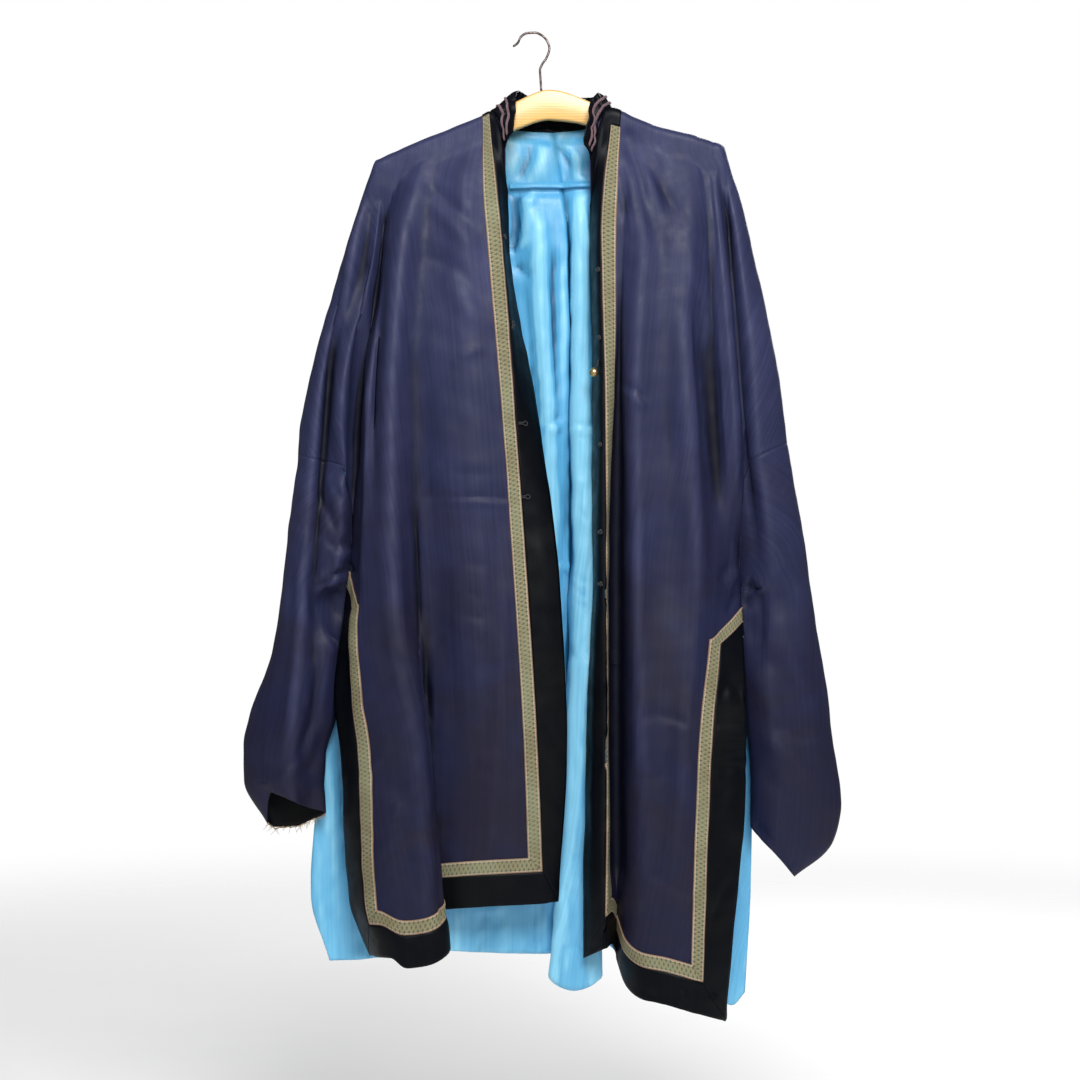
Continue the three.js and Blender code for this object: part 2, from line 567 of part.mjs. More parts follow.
// The left front's own lining rolls out past its edge at the chest.
function frontLiningStrip() {
  const { grid, isReversed } = left.front;
  const strip = grid.slice(1, LINING_STRIP.lastRow + 1).map(([edge, inner]) => {
    const past = edge.clone().sub(inner).setLength(LINING_STRIP.past).add(edge);
    return [past, edge, inner];
  });
  const cells = stripCells(strip, isReversed);
  const rows = [0, strip.length - 1];
  recordFacing(block(cells, rows, [0, 1]));
  return block(cells, rows, [0, 2]);
}

const cloth = {
  frontLeft: quarterCells(left.front),
  frontRight: quarterCells(right.front),
  backLeft: quarterCells(left.back),
  backRight: quarterCells(right.back),
  sleeveLeft: loopCells(leftSleeve, false),
  sleeveRight: loopCells(rightSleeve, true),
  collar: stripCells(collar, true),
};
Object.values(cloth).forEach(({ all }) => recordFacing(all));

const liningStrip = frontLiningStrip();

const underarms = [left, right].map(({ front }) => weld(front.grid[front.underarmRow][front.sideColumn]));

// ---------------------------------------------------------------- walls of cloth

const crossOf = (triangle) => {
  const [a, b, d] = triangle.map((index) => surface.points[index]);
  return b.clone().sub(a).cross(d.clone().sub(a)).normalize();
};

// The shift that moves a corner in from its cut edges, and out of none of its faces.
function cornerInset(normals, inwards, inset) {
  const still = normals.map((direction) => ({ direction, length: 0, weight: 6 }));
  const moved = inwards.map((direction) => ({ direction, length: inset, weight: 1 }));
  return leastSquares([...still, ...moved], 0.05);
}

// How far in from its cut edge a piece is drawn at each point of that edge.
function seamInsets(triangles, inset) {
  const edges = new Set(triangles.flatMap(([a, b, d]) => [`${a},${b}`, `${b},${d}`, `${d},${a}`]));
  const normals = new Map();
  const inwards = new Map();
  const cutEdges = [];
  const put = (map, index, vector) => map.set(index, [...(map.get(index) ?? []), vector]);
  triangles.forEach((triangle) => {
    const normal = crossOf(triangle);
    triangle.forEach((a, i) => {
      put(normals, a, normal);
      const b = triangle[(i + 1) % 3];
      if (edges.has(`${b},${a}`)) return;
      cutEdges.push([a, b]);
      const along = surface.points[b].clone().sub(surface.points[a]);
      const inward = normal.clone().cross(along).normalize();
      put(inwards, a, inward);
      put(inwards, b, inward);
    });
  });
  const insets = new Map();
  inwards.forEach((sides, index) => {
    const faces = underarms.includes(index) ? [] : normals.get(index);
    insets.set(index, cornerInset(faces, sides, inset));
  });
  return { insets, cutEdges };
}

// A closed wall on some triangles of the surface, between two distances out from it.
function wall(triangles, { from, to, ease = SEAM_GAP * 0.6 }) {
  const { insets, cutEdges } = seamInsets(triangles, ease);
  const used = [...new Set(triangles.flat())];
  const slot = new Map(used.map((index, i) => [index, i]));
  const noInset = new THREE.Vector3();
  const positions = [from, to].flatMap((distance) => used.flatMap((index) => {
    const point = surface.points[index].clone();
    point.addScaledVector(growth(index), distance).add(insets.get(index) ?? noInset);
    return point.toArray();
  }));
  const inner = (index) => slot.get(index);
  const outer = (index) => slot.get(index) + used.length;
  const faces = [
    ...triangles.flatMap(([a, b, d]) => [outer(a), outer(b), outer(d)]),
    ...triangles.flatMap(([a, b, d]) => [inner(a), inner(d), inner(b)]),
    ...cutEdges.flatMap(([a, b]) => (a < b
      ? [inner(a), inner(b), outer(b), inner(a), outer(b), outer(a)]
      : [inner(a), inner(b), outer(a), inner(b), outer(b), outer(a)])),
  ];
  const geometry = new THREE.BufferGeometry();
  geometry.setAttribute('position', new THREE.Float32BufferAttribute(positions, 3));
  geometry.setIndex(faces);
  return geometry;
}

// ---------------------------------------------------------------- cut pieces

const sideHalf = (cells, r, c) => [cells.at(r, c)[0]];
const footHalf = (cells, r, c) => [cells.at(r, c)[1]];

// The rows of the hem, counted up from the last row.
function hemRows(cells) {
  const [ribbonTop, borderTop, borderMiddle, edge] = HEM_RISES.map((_, i) => cells.last - 3 + i);
  return { ribbonTop, borderTop, borderMiddle, edge };
}

function centreBorder(cells, ribbonStart) {
  const { borderTop, borderMiddle } = hemRows(cells);
  return [
    ...block(cells, [0, borderTop], [0, 2]),
    ...block(cells, [0, ribbonStart], [2, 3]),
    ...block(cells, [borderTop, borderMiddle], [0, 1]),
    ...sideHalf(cells, borderTop, 1),
    ...sideHalf(cells, borderMiddle, 0),
  ];
}

function centreRibbon(cells, ribbonStart) {
  const { ribbonTop } = hemRows(cells);
  return [
    ...block(cells, [ribbonStart, ribbonTop], [2, 3]),
    ...sideHalf(cells, ribbonTop, 2),
  ];
}

// The hem's trim starts at a mitred corner on the fronts and at the centre seam on the backs.
function hemBorder(cells, quarter, isFront) {
  const { borderTop, borderMiddle, edge } = hemRows(cells);
  const slit = quarter.sideColumn;
  const nearCorner = isFront
    ? [...footHalf(cells, borderTop, 1), ...footHalf(cells, borderMiddle, 0),
      ...block(cells, [borderMiddle, edge], [1, 2])]
    : block(cells, [borderTop, edge], [0, 2]);
  return [
    ...nearCorner,
    ...block(cells, [borderTop, edge], [2, slit - 2]),
    ...block(cells, [borderMiddle, edge], [slit - 2, slit - 1]),
    ...footHalf(cells, borderTop, slit - 2),
    ...footHalf(cells, borderMiddle, slit - 1),
  ];
}

function hemRibbon(cells, quarter, isFront) {
  const { ribbonTop, borderTop } = hemRows(cells);
  const slit = quarter.sideColumn;
  const nearCorner = isFront
    ? footHalf(cells, ribbonTop, 2)
    : block(cells, [ribbonTop, borderTop], [0, 3]);
  return [
    ...nearCorner,
    ...block(cells, [ribbonTop, borderTop], [3, slit - 3]),
    ...footHalf(cells, ribbonTop, slit - 3),
  ];
}

function slitBorder(cells, quarter) {
  const { borderTop, borderMiddle } = hemRows(cells);
  const slit = quarter.sideColumn;
  const slitTop = quarter.underarmRow + 2;
  return [
    ...block(cells, [slitTop, borderTop], [slit - 2, slit]),
    ...block(cells, [borderTop, borderMiddle], [slit - 1, slit]),
    ...sideHalf(cells, borderTop, slit - 2),
    ...sideHalf(cells, borderMiddle, slit - 1),
  ];
}

// The slit's ribbon runs up beside the border and turns across its top to the side seam.
function slitRibbon(cells, quarter) {
  const { ribbonTop } = hemRows(cells);
  const slit = quarter.sideColumn;
  const slitTop = quarter.underarmRow + 1;
  return [
    ...block(cells, [slitTop, slitTop + 1], [slit - 3, slit]),
    ...block(cells, [slitTop + 1, ribbonTop], [slit - 3, slit - 2]),
    ...sideHalf(cells, ribbonTop, slit - 3),
  ];
}

// The lining shows in the front opening and below the fronts. Higher up and further out the
// back is left single. It starts below the roll of the shoulder.
function backLining(cells, quarter) {
  const neck = BODY_LINES_OF_NECK_AT_BACK - 1;
  const belowRoll = 1;
  const slitTop = quarter.underarmRow + 2;
  return [
    ...block(cells, [0, belowRoll], [0, neck]),
    ...block(cells, [belowRoll, quarter.underarmRow], [0, LINED_COLUMNS]),
    ...block(cells, [quarter.underarmRow, slitTop], [0, quarter.sideColumn - 1]),
    ...block(cells, [slitTop, cells.last], [0, quarter.sideColumn]),
  ];
}

// ---------------------------------------------------------------- fastenings

// The front of a piece at a given x and z: the point, the way across it and the way out of it.
function placeOn(geometry, x, z) {
  const corners = geometry.getAttribute('position');
  const index = geometry.getIndex().array;
  const ray = new THREE.Ray(new THREE.Vector3(x, -400, z), new THREE.Vector3(0, 1, 0));
  let place = null;
  for (let i = 0; i < index.length; i += 3) {
    const [a, b, d] = [0, 1, 2].map((k) => new THREE.Vector3().fromBufferAttribute(corners, index[i + k]));
    const point = ray.intersectTriangle(a, b, d, false, new THREE.Vector3());
    if (point && (!place || point.y < place.point.y)) {
      const out = b.sub(a).cross(d.sub(a)).normalize();
      const across = new THREE.Vector3(-out.y, out.x, 0).normalize();
      place = { point, across, out };
    }
  }
  return place;
}

// A cord loop and knot, flat against the cloth: a strap with round ends and a round knot.
function frogGeometry(length) {
  const shape = new THREE.Shape();
  const half = length / 2;
  const meet = Math.acos(STRAP_RADIUS / KNOT_RADIUS);
  shape.moveTo(-half, -STRAP_RADIUS);
  shape.absarc(half, 0, KNOT_RADIUS, meet - Math.PI, Math.PI - meet, false);
  shape.lineTo(-half, STRAP_RADIUS);
  shape.absarc(-half, 0, STRAP_RADIUS, Math.PI / 2, Math.PI * 1.5, false);
  return new THREE.ExtrudeGeometry(shape, {
    depth: FROG_THICKNESS,
    bevelEnabled: false,
    curveSegments: 5,
  });
}

function standOn({ point, across, out }, rise) {
  const up = out.clone().cross(across);
  const matrix = new THREE.Matrix4().makeBasis(across, up, out);
  return matrix.setPosition(point.clone().addScaledVector(out, rise));
}

function frog(border, { x, z, length, turn = 0 }) {
  const place = placeOn(border, x, z);
  place.across.applyAxisAngle(place.out, turn);
  return frogGeometry(length).applyMatrix4(standOn(place, CORD_RISE));
}

function ballButton(border) {
  const place = placeOn(border, BUTTON.x, BUTTON.z);
  const ball = new THREE.SphereGeometry(BUTTON_DIAMETER / 2, 20, 14);
  return ball.applyMatrix4(standOn(place, CORD_RISE + BUTTON_DIAMETER / 2));
}

// ---------------------------------------------------------------- hanger

const hangerTopEdge = () => {
  const shoulder = (body) => Object.values(body).slice(3, -1)
    .map(([[x, , z]]) => [x, z - HANGER_CLEARANCE]);
  const leftArm = shoulder(LEFT_FRONT_BODY).reverse();
  const rightArm = shoulder(RIGHT_FRONT_BODY);
  return [HANGER_TIPS.left, ...leftArm, ...HANGER_CROWN, ...rightArm, HANGER_TIPS.right];
};

function hangerBody() {
  const top = hangerTopEdge();
  const topAt = smoothThrough(top.map(([x]) => x), top.map(([, z]) => z));
  const depthAt = smoothThrough(HANGER_DEPTHS.map(([x]) => x), HANGER_DEPTHS.map(([, depth]) => depth));
  const xs = top.map(([x]) => x);
  const bottom = [...xs].reverse().map((x) => [x, topAt(x) - depthAt(x)]);
  const inset = HANGER_BEVEL;
  const outline = [
    ...top.map(([x, z]) => [x, z - inset]),
    ...bottom.map(([x, z]) => [x, z + inset]),
  ];
  const shape = new THREE.Shape(outline.map(([x, z]) => new THREE.Vector2(x, z)));
  const geometry = new THREE.ExtrudeGeometry(shape, {
    depth: HANGER_THICKNESS - inset * 2,
    bevelThickness: inset,
    bevelSize: inset,
    bevelSegments: 2,
  });
  return geometry.translate(0, 0, inset - HANGER_THICKNESS / 2).rotateX(Math.PI / 2);
}

// The wire's middle line in the hanger's plane, from the wood up, round the crown, to the tip.
function hookPath() {
  const { shank, crown, tip } = HOOK;
  const arc = crown.angles.map((degrees) => {
    const angle = THREE.MathUtils.degToRad(degrees);
    const [x, z] = crown.centre;
    return [x + crown.radius * Math.cos(angle), z + crown.radius * Math.sin(angle)];
  });
  const line = [...shank, ...arc, ...tip];
  return new THREE.CatmullRomCurve3(line.map(([x, z]) => new THREE.Vector3(x, 0, z)), false, 'centripetal');
}

function hangerHook() {
  const section = new THREE.Shape().absarc(0, 0, HOOK_WIRE / 2, 0, Math.PI * 2);
  return new THREE.ExtrudeGeometry(section, {
    steps: 40,
    curveSegments: 5,
    extrudePath: hookPath(),
  });
}

// ---------------------------------------------------------------- the part

const MATERIALS = {
  navySilk: { color: '#43466a', roughness: 0.62 },
  blackSatin: { color: '#171a22', roughness: 0.42 },
  wovenRibbon: { color: '#8f8a63', roughness: 0.8 },
  blueLining: { color: '#5fb2dc', roughness: 0.5 },
  mauvePiping: { color: '#a8828c', roughness: 0.7 },
  blackCord: { color: '#14151b', roughness: 0.7 },
  gilt: { color: '#c8ab6a', roughness: 0.35, metalness: 0.8 },
  varnishedWood: { color: '#e3b264', roughness: 0.4 },
  hookWire: { color: '#6f5f60', roughness: 0.4, metalness: 0.9 },
};

const part = new THREE.Group();

function add(name, geometry, look) {
  const bare = geometry.clone();
  const extras = Object.keys(bare.attributes).filter((key) => key !== 'position');
  extras.forEach((key) => bare.deleteAttribute(key));
  const merged = mergeVertices(bare, 1e-3);
  merged.computeVertexNormals();
  const mesh = new THREE.Mesh(merged, new THREE.MeshStandardMaterial(MATERIALS[look]));
  mesh.name = name;
  part.add(mesh);
}

const QUARTERS = [
  { name: 'front_left', cells: cloth.frontLeft, quarter: left.front, isFront: true, side: LEFT_SIDE },
  { name: 'front_right', cells: cloth.frontRight, quarter: right.front, isFront: true, side: RIGHT_SIDE },
  { name: 'back_left', cells: cloth.backLeft, quarter: left.back, isFront: false },
  { name: 'back_right', cells: cloth.backRight, quarter: right.back, isFront: false },
];

const openingBorders = [];
QUARTERS.forEach(({ name, cells, quarter, isFront, side }) => {
  add(`panel_${name}`, wall(cells.all, SILK), 'navySilk');
  add(`border_hem_${name}`, wall(hemBorder(cells, quarter, isFront), BORDER), 'blackSatin');
  add(`ribbon_hem_${name}`, wall(hemRibbon(cells, quarter, isFront), RIBBON), 'wovenRibbon');
  add(`border_slit_${name}`, wall(slitBorder(cells, quarter), BORDER), 'blackSatin');
  add(`ribbon_slit_${name}`, wall(slitRibbon(cells, quarter), RIBBON), 'wovenRibbon');
  if (isFront) {
    const openingBorder = wall(centreBorder(cells, side.ribbonStart), BORDER);
    openingBorders.push(openingBorder);
    add(`border_opening_${name}`, openingBorder, 'blackSatin');
    add(`ribbon_opening_${name}`, wall(centreRibbon(cells, side.ribbonStart), RIBBON), 'wovenRibbon');
  } else {
    add(`lining_${name}`, wall(backLining(cells, quarter), LINING), 'blueLining');
  }
});

const neckBorderRows = [0, SHOULDER_DROPS.length - 1];
add('border_neck_back', wall([
  ...block(cloth.backLeft, neckBorderRows, [0, BODY_LINES_OF_NECK_AT_BACK]),
  ...block(cloth.backRight, neckBorderRows, [0, BODY_LINES_OF_NECK_AT_BACK]),
], BORDER), 'blackSatin');

add('lining_front_left', wall(liningStrip, LINING), 'blueLining');

add('sleeve_left', wall(cloth.sleeveLeft.all, SLEEVE_SILK), 'navySilk');
add('sleeve_right', wall(cloth.sleeveRight.all, SLEEVE_SILK), 'navySilk');

const cuffRows = [leftSleeve.length - 2, leftSleeve.length - 1];
const cuff = block(cloth.sleeveLeft, cuffRows, [0, leftSleeve[0].length]);
add('cuff_facing_left', wall(cuff, LINING), 'blackSatin');

const collarColumns = [0, collar[0].length - 1];
add('collar', wall(cloth.collar.all, COLLAR), 'blackSatin');
PIPING_ROWS.forEach((row, i) => {
  const strip = block(cloth.collar, [row, row + 1], collarColumns);
  add(`collar_piping_${i + 1}`, wall(strip, PIPING), 'mauvePiping');
});

LEFT_FROGS.forEach((row, i) => add(`frog_left_${i + 1}`, frog(openingBorders[0], row), 'blackCord'));
RIGHT_FROGS.forEach((row, i) => add(`frog_right_${i + 1}`, frog(openingBorders[1], row), 'blackCord'));
add('ball_button', ballButton(openingBorders[1]), 'gilt');

add('hanger_body', hangerBody(), 'varnishedWood');
add('hanger_hook', hangerHook(), 'hookWire');

export default part;
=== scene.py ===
import copy
import json
import math

import bpy
import mathutils
import mathutils.bvhtree
import numpy as np
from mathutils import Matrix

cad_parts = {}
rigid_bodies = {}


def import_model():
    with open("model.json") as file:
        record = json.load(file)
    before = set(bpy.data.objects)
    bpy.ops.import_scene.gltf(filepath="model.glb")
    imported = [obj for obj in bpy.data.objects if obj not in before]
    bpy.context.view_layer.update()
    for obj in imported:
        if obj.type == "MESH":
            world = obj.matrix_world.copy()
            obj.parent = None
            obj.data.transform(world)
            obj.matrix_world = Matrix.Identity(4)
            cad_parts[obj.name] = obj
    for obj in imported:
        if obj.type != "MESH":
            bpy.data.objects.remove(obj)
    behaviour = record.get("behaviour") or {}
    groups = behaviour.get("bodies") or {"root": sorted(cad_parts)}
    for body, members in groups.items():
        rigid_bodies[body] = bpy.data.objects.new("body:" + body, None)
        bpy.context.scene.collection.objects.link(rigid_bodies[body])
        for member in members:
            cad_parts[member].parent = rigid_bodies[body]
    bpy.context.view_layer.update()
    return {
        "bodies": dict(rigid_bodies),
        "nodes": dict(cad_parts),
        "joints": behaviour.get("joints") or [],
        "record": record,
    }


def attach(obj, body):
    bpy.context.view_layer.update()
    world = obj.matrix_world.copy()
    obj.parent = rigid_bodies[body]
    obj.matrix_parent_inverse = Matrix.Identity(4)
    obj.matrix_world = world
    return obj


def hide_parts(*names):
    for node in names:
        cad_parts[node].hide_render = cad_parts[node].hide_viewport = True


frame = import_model()

# A Chinese silk robe, open down the front, hanging on a wooden clothes hanger.
#
# Sizes are in millimetres, in the frame's axes, and a mesh is made in metres. The cloth is one
# surface of fold lines that hang from the shoulders, the same as in the part's source, drawn
# finer and creased. Every cut piece is a thin closed shell on its part of that surface.

MM = 0.001


# ---------------------------------------------------------------- sizes

SILK = (0.0, 1.2)  # a layer's inner and outer face, measured out from the cloth surface
BORDER = (1.4, 2.3)
RIBBON = (1.4, 2.6)
LINING = (-1.3, -0.3)
TUCK = (-0.4, 0.4)
COLLAR_SATIN = (0.0, 1.2)
BRAID_WIDTH, BRAID_HEIGHT = 3.6, 2.2
BRAID_SHARES = (0.3, 0.62)  # how far up the collar each braid lies

BORDER_WIDTH = 40
RIBBON_WIDTH = 18
BORDER_CELLS = 2  # cells between fold lines across the border, and one more across the ribbon
TRIM_CELLS = 3
TRIM_WIDTH = BORDER_WIDTH + RIBBON_WIDTH

LEVEL_Z = {"bust": -260, "waist": -490, "hip": -690, "thigh": -900}
SHOULDER_ROLL = {"depth": 10, "radius": 8, "reach": 120}


# ---------------------------------------------------------------- fold lines
# Each row is a line down the cloth, from the front edge or the centre back out to the side,
# with its x and y at each level, and its z too at the ends.


LEFT_FRONT_BODY = {
    # top, bust, waist, hip, thigh, hem
    "centre_edge": ((-32, -14, -148), (-29, 4), (8, -12), (35, -36), (45, -38), (33, -34, -1096)),
    "border_middle": ((-43, -12, -108), (-34, -12), (-5, -28), (14, -42), (27, -43),
                      (24, -42, -1096)),
    "ribbon_inner": ((-53, 0, -101), (-38, -28), (-20, -39), (-5, -43), (8, -46), (16, -46, -1097)),
    "ribbon_outer": ((-61, 0, -105), (-56, -31), (-36, -42), (-22, -44), (-9, -47),
                     (-2, -47, -1098)),
    "chest_ridge": ((-75, 0, -111), (-84, -36), (-76, -50), (-66, -52), (-58, -50),
                    (-49, -48, -1100)),
    "fold_under": ((-93, 0, -118), (-112, -31), (-119, -42), (-132, -32), (-132, -34),
                   (-124, -34, -1113)),
    "fold_edge": ((-109, 0, -125), (-132, -28), (-144, -38), (-144, -32), (-121, -60),
                  (-103, -64, -1151)),
    "side_ridge": ((-128, 0, -132), (-158, -38), (-174, -52), (-169, -60), (-144, -74),
                   (-128, -84, -1167)),
    "side_valley": ((-147, 0, -140), (-175, -26), (-195, -36), (-193, -54), (-173, -72),
                    (-152, -84, -1170)),
    "slit_ribbon_in": ((-163, 0, -147), (-180, -18), (-204, -40), (-212, -42), (-199, -62),
                       (-171, -76, -1159)),
    "slit_ribbon_out": ((-169, 0, -150), (-183, -12), (-209, -28), (-217, -26), (-215, -52),
                        (-183, -64, -1160)),
    "slit_middle": ((-174, 0, -152), (-185, -8), (-213, -16), (-224, -10), (-228, -36),
                    (-192, -48, -1162)),
    "slit_edge": ((-179, 0, -154), (-187, -5), (-218, -4), (-231, 3), (-240, -18),
                  (-201, -30, -1164)),
}

RIGHT_FRONT_BODY = {
    # top, bust, waist, hip, thigh, hem
    "centre_edge": ((74, -20, -164), (77, 4), (80, -4), (80, -8), (71, -20), (67, -24, -1169)),
    "border_middle": ((91, -12, -104), (80, -14), (84, -24), (84, -28), (80, -38),
                      (79, -42, -1160)),
    "ribbon_inner": ((103, 0, -96), (89, -32), (93, -42), (93, -46), (94, -52), (92, -54, -1152)),
    "ribbon_outer": ((114, 0, -99), (107, -34), (105, -34), (100, -30), (99, -35),
                     (99, -37, -1149)),
    "deep_valley": ((130, 0, -107), (115, -34), (110, -25), (108, -13), (108, -13),
                    (108, -14, -1168)),
    "fold_edge": ((145, 0, -113), (124, -38), (115, -38), (118, -38), (119, -44),
                  (118, -48, -1197)),
    "chest_ridge": ((160, 0, -119), (140, -42), (134, -52), (133, -58), (135, -68),
                    (139, -78, -1210)),
    "middle": ((176, 0, -123), (167, -34), (167, -48), (166, -54), (165, -72), (164, -88, -1214)),
    "side_ridge": ((193, 0, -127), (197, -36), (201, -52), (206, -54), (189, -74),
                   (183, -90, -1219)),
    "slit_ribbon_in": ((206, 0, -130), (215, -28), (221, -30), (227, -38), (207, -70),
                       (195, -90, -1223)),
    "slit_ribbon_out": ((213, 0, -133), (224, -22), (233, -24), (241, -24), (224, -64),
                        (210, -84, -1228)),
    "slit_middle": ((220, 0, -135), (231, -22), (243, -30), (254, -12), (245, -58),
                    (225, -74, -1234)),
    "slit_edge": ((226, 0, -137), (237, -24), (255, -30), (265, 0), (268, -50), (241, -60, -1240)),
}

# More places that a line passes through, for the ribbon's and the slits' edges.
LEFT_FRONT_KNEES = {
    "ribbon_inner": ((-45, -19, -190),),
    "ribbon_outer": ((-61, -21, -190),),
    "slit_ribbon_in": ((-215, -50, -757), (-208, -58, -846), (-190, -71, -1095)),
    "slit_ribbon_out": ((-226, -37, -757), (-222, -46, -846), (-205, -60, -1095)),
    "slit_middle": ((-231, -14, -775), (-216, -43, -1095)),
    "slit_edge": ((-239, -1, -755), (-248, -6, -835), (-227, -22, -1095)),
}
LEFT_BACK_KNEES = {"slit_middle": ((-261, 26, -1095),), "slit_edge": ((-282, 25, -1095),)}
RIGHT_BACK_KNEES = {"slit_edge": ((281, 25, -1095),)}

# The backs hang from the same places on the shoulders as the fronts, so only the tops of their
# first three lines, along the neck, are given here.
LEFT_BACK_BODY = {
    # top, bust, waist, hip, thigh, hem
    "centre_back": ((28, 24, -122), (47, 18), (51, 22), (50, 24), (46, 24), (45, 26, -1172)),
    "neck_ridge": ((-14, 22, -120), (11, 12), (28, 10), (25, 15), (18, 18), (9, 20, -1171)),
    "neck_side": ((-44, 16, -108), (-21, 20), (-1, 22), (-12, 24), (-21, 22), (-30, 18, -1170)),
    "neck_point": (None, (-50, 20), (-36, 22), (-47, 22), (-59, 26), (-66, 26, -1170)),
    "inner_ridge": (None, (-78, 16), (-73, 20), (-83, 24), (-91, 22), (-97, 22, -1168)),
    "inner_valley": (None, (-104, 20), (-107, 26), (-116, 18), (-119, 28), (-125, 34, -1171)),
    "blade_ridge": (None, (-125, 14), (-132, 18), (-142, 22), (-143, 30), (-145, 28, -1173)),
    "blade_valley": (None, (-142, 18), (-154, 24), (-162, 16), (-163, 20), (-161, 22, -1174)),
    "side_ridge": (None, (-157, 12), (-171, 17), (-178, 20), (-179, 34), (-178, 36, -1178)),
    "side_valley": (None, (-169, 16), (-187, 22), (-190, 16), (-194, 28), (-193, 30, -1178)),
    "slit_ribbon_in": (None, (-179, 13), (-200, 19), (-203, 13), (-209, 30), (-208, 34, -1180)),
    "slit_ribbon_out": (None, (-184, 12), (-207, 18), (-209, 14), (-225, 28), (-224, 30, -1181)),
    "slit_middle": (None, (-187, 11), (-213, 16), (-215, 12), (-245, 26), (-242, 27, -1181)),
    "slit_edge": (None, (-191, 10), (-221, 14), (-220, 12), (-265, 25), (-258, 23, -1181)),
}

# On the right the lining comes forward between the fronts, as a tongue that hangs lower.
RIGHT_BACK_BODY = {
    # top, bust, waist, hip, thigh, hem
    "centre_back": ((28, 24, -122), (47, 18), (51, 22), (50, 24), (46, 24), (45, 26, -1172)),
    "tongue_left": ((69, 22, -118), (62, 10), (59, 8), (60, 8), (55, 0), (27, -2, -1201)),
    "tongue_middle": ((94, 16, -104), (78, 18), (73, 10), (78, 6), (67, -6), (54, -10, -1214)),
    "tongue_right": (None, (93, 20), (88, 22), (96, 22), (80, 2), (82, -4, -1202)),
    "tongue_under": (None, (111, 14), (106, 26), (111, 26), (68, 14), (62, 14, -1182)),
    "inner_valley": (None, (129, 20), (124, 18), (129, 20), (93, 26), (96, 28, -1161)),
    "blade_ridge": (None, (147, 14), (142, 24), (147, 26), (116, 24), (122, 26, -1184)),
    "blade_valley": (None, (165, 20), (160, 18), (165, 20), (140, 26), (146, 30, -1198)),
    "side_ridge": (None, (182, 14), (179, 26), (186, 26), (162, 22), (169, 26, -1204)),
    "side_valley": (None, (201, 18), (199, 20), (209, 22), (186, 28), (192, 30, -1214)),
    "slit_ribbon_in": (None, (213, 13), (216, 18), (231, 17), (214, 26), (215, 28, -1224)),
    "slit_ribbon_out": (None, (222, 12), (226, 17), (244, 16), (232, 28), (236, 26, -1230)),
    "slit_middle": (None, (230, 12), (236, 16), (256, 14), (258, 28), (257, 24, -1238)),
    "slit_edge": (None, (237, 11), (246, 15), (267, 14), (284, 26), (273, 20, -1221)),
}

# The upper sleeves are cut in one with the body and end at the sleeve seam.
LEFT_UPPER_SLEEVE = {
    # top, bust, waist and seam, and the back's y at the last three
    "inner_ridge": ((-185, 0, -157), (-196, -14), (-238, -26), (-234, -24, -552), (12, 14, 13)),
    "middle_valley": ((-191, 0, -160), (-209, -9), (-258, -12), (-259, -12, -543), (8, 12, 15)),
    "outer_ridge": ((-196, 0, -162), (-223, -12), (-270, -18), (-275, -18, -540), (7, 10, 11)),
    "outer_edge": ((-199, 0, -167), (-230, 0), (-290, 0), (-295, 0, -535), (0, 0, 0)),
}

RIGHT_UPPER_SLEEVE = {
    # top, bust, waist and seam, and the back's y at the last three
    "inner_ridge": ((231, 0, -139), (251, -8), (270, -12), (273, -12, -546), (10, 13, 13)),
    "middle_valley": ((236, 0, -140), (260, -16), (284, -24), (286, -24, -537), (9, 14, 15)),
    "outer_ridge": ((241, 0, -142), (269, -11), (303, -18), (305, -18, -528), (7, 10, 11)),
    "outer_edge": ((245, 0, -145), (277, 0), (321, 0), (324, 0, -520), (0, 0, 0)),
}

# The lower sleeves: x, y and z of the front's lines at each ring round the arm.
LEFT_LOWER_SLEEVE = {
    # inner edge, inner ridge, middle, outer ridge, outer edge
    "fold": ((-228, 8, -684), (-249, -22, -693), (-277, -22, -681), (-299, -18, -671),
             (-310, 0, -662)),
    "crook": ((-232, 12, -725), (-274, -2, -725), (-289, -20, -719), (-306, -20, -716),
              (-317, 0, -722)),
    "elbow": ((-243, 8, -801), (-254, -12, -788), (-286, -24, -788), (-311, -20, -788),
              (-331, 0, -797)),
    "forearm": ((-248, 6, -863), (-271, -18, -860), (-298, -30, -859), (-329, -20, -860),
                (-354, 0, -861)),
    "wrist": ((-261, 2, -916), (-278, -16, -914), (-302, -32, -913), (-339, -22, -914),
              (-364, 0, -907)),
    "heel": ((-262, 0, -954), (-278, -12, -953), (-305, -32, -947), (-339, -22, -943),
             (-364, 0, -948)),
    "cuff": ((-261, -2, -989), (-281, -8, -982), (-299, -30, -971), (-327, -20, -961),
             (-335, 0, -1001)),
}

RIGHT_LOWER_SLEEVE = {
    # inner edge, inner ridge, middle, outer ridge, outer edge
    "fold": ((266, 2, -707), (290, -20, -702), (307, -26, -683), (329, -20, -668), (347, 0, -656)),
    "crook": ((265, 2, -722), (285, -6, -721), (309, -18, -719), (336, -18, -716), (356, 0, -719)),
    "elbow": ((267, 1, -770), (282, -12, -776), (304, -24, -782), (336, -22, -788), (368, 0, -795)),
    "forearm": ((272, 1, -853), (286, -16, -858), (311, -26, -863), (347, -22, -870),
                (383, 0, -901)),
    "wrist": ((279, 0, -929), (291, -14, -934), (316, -24, -945), (354, -20, -958), (393, 0, -978)),
    "heel": ((280, 0, -973), (290, -12, -982), (312, -20, -999), (344, -16, -1013),
             (383, 0, -1024)),
    "cuff": ((280, -2, -1007), (290, -8, -1020), (304, -12, -1035), (320, -10, -1053),
             (334, 0, -1070)),
}

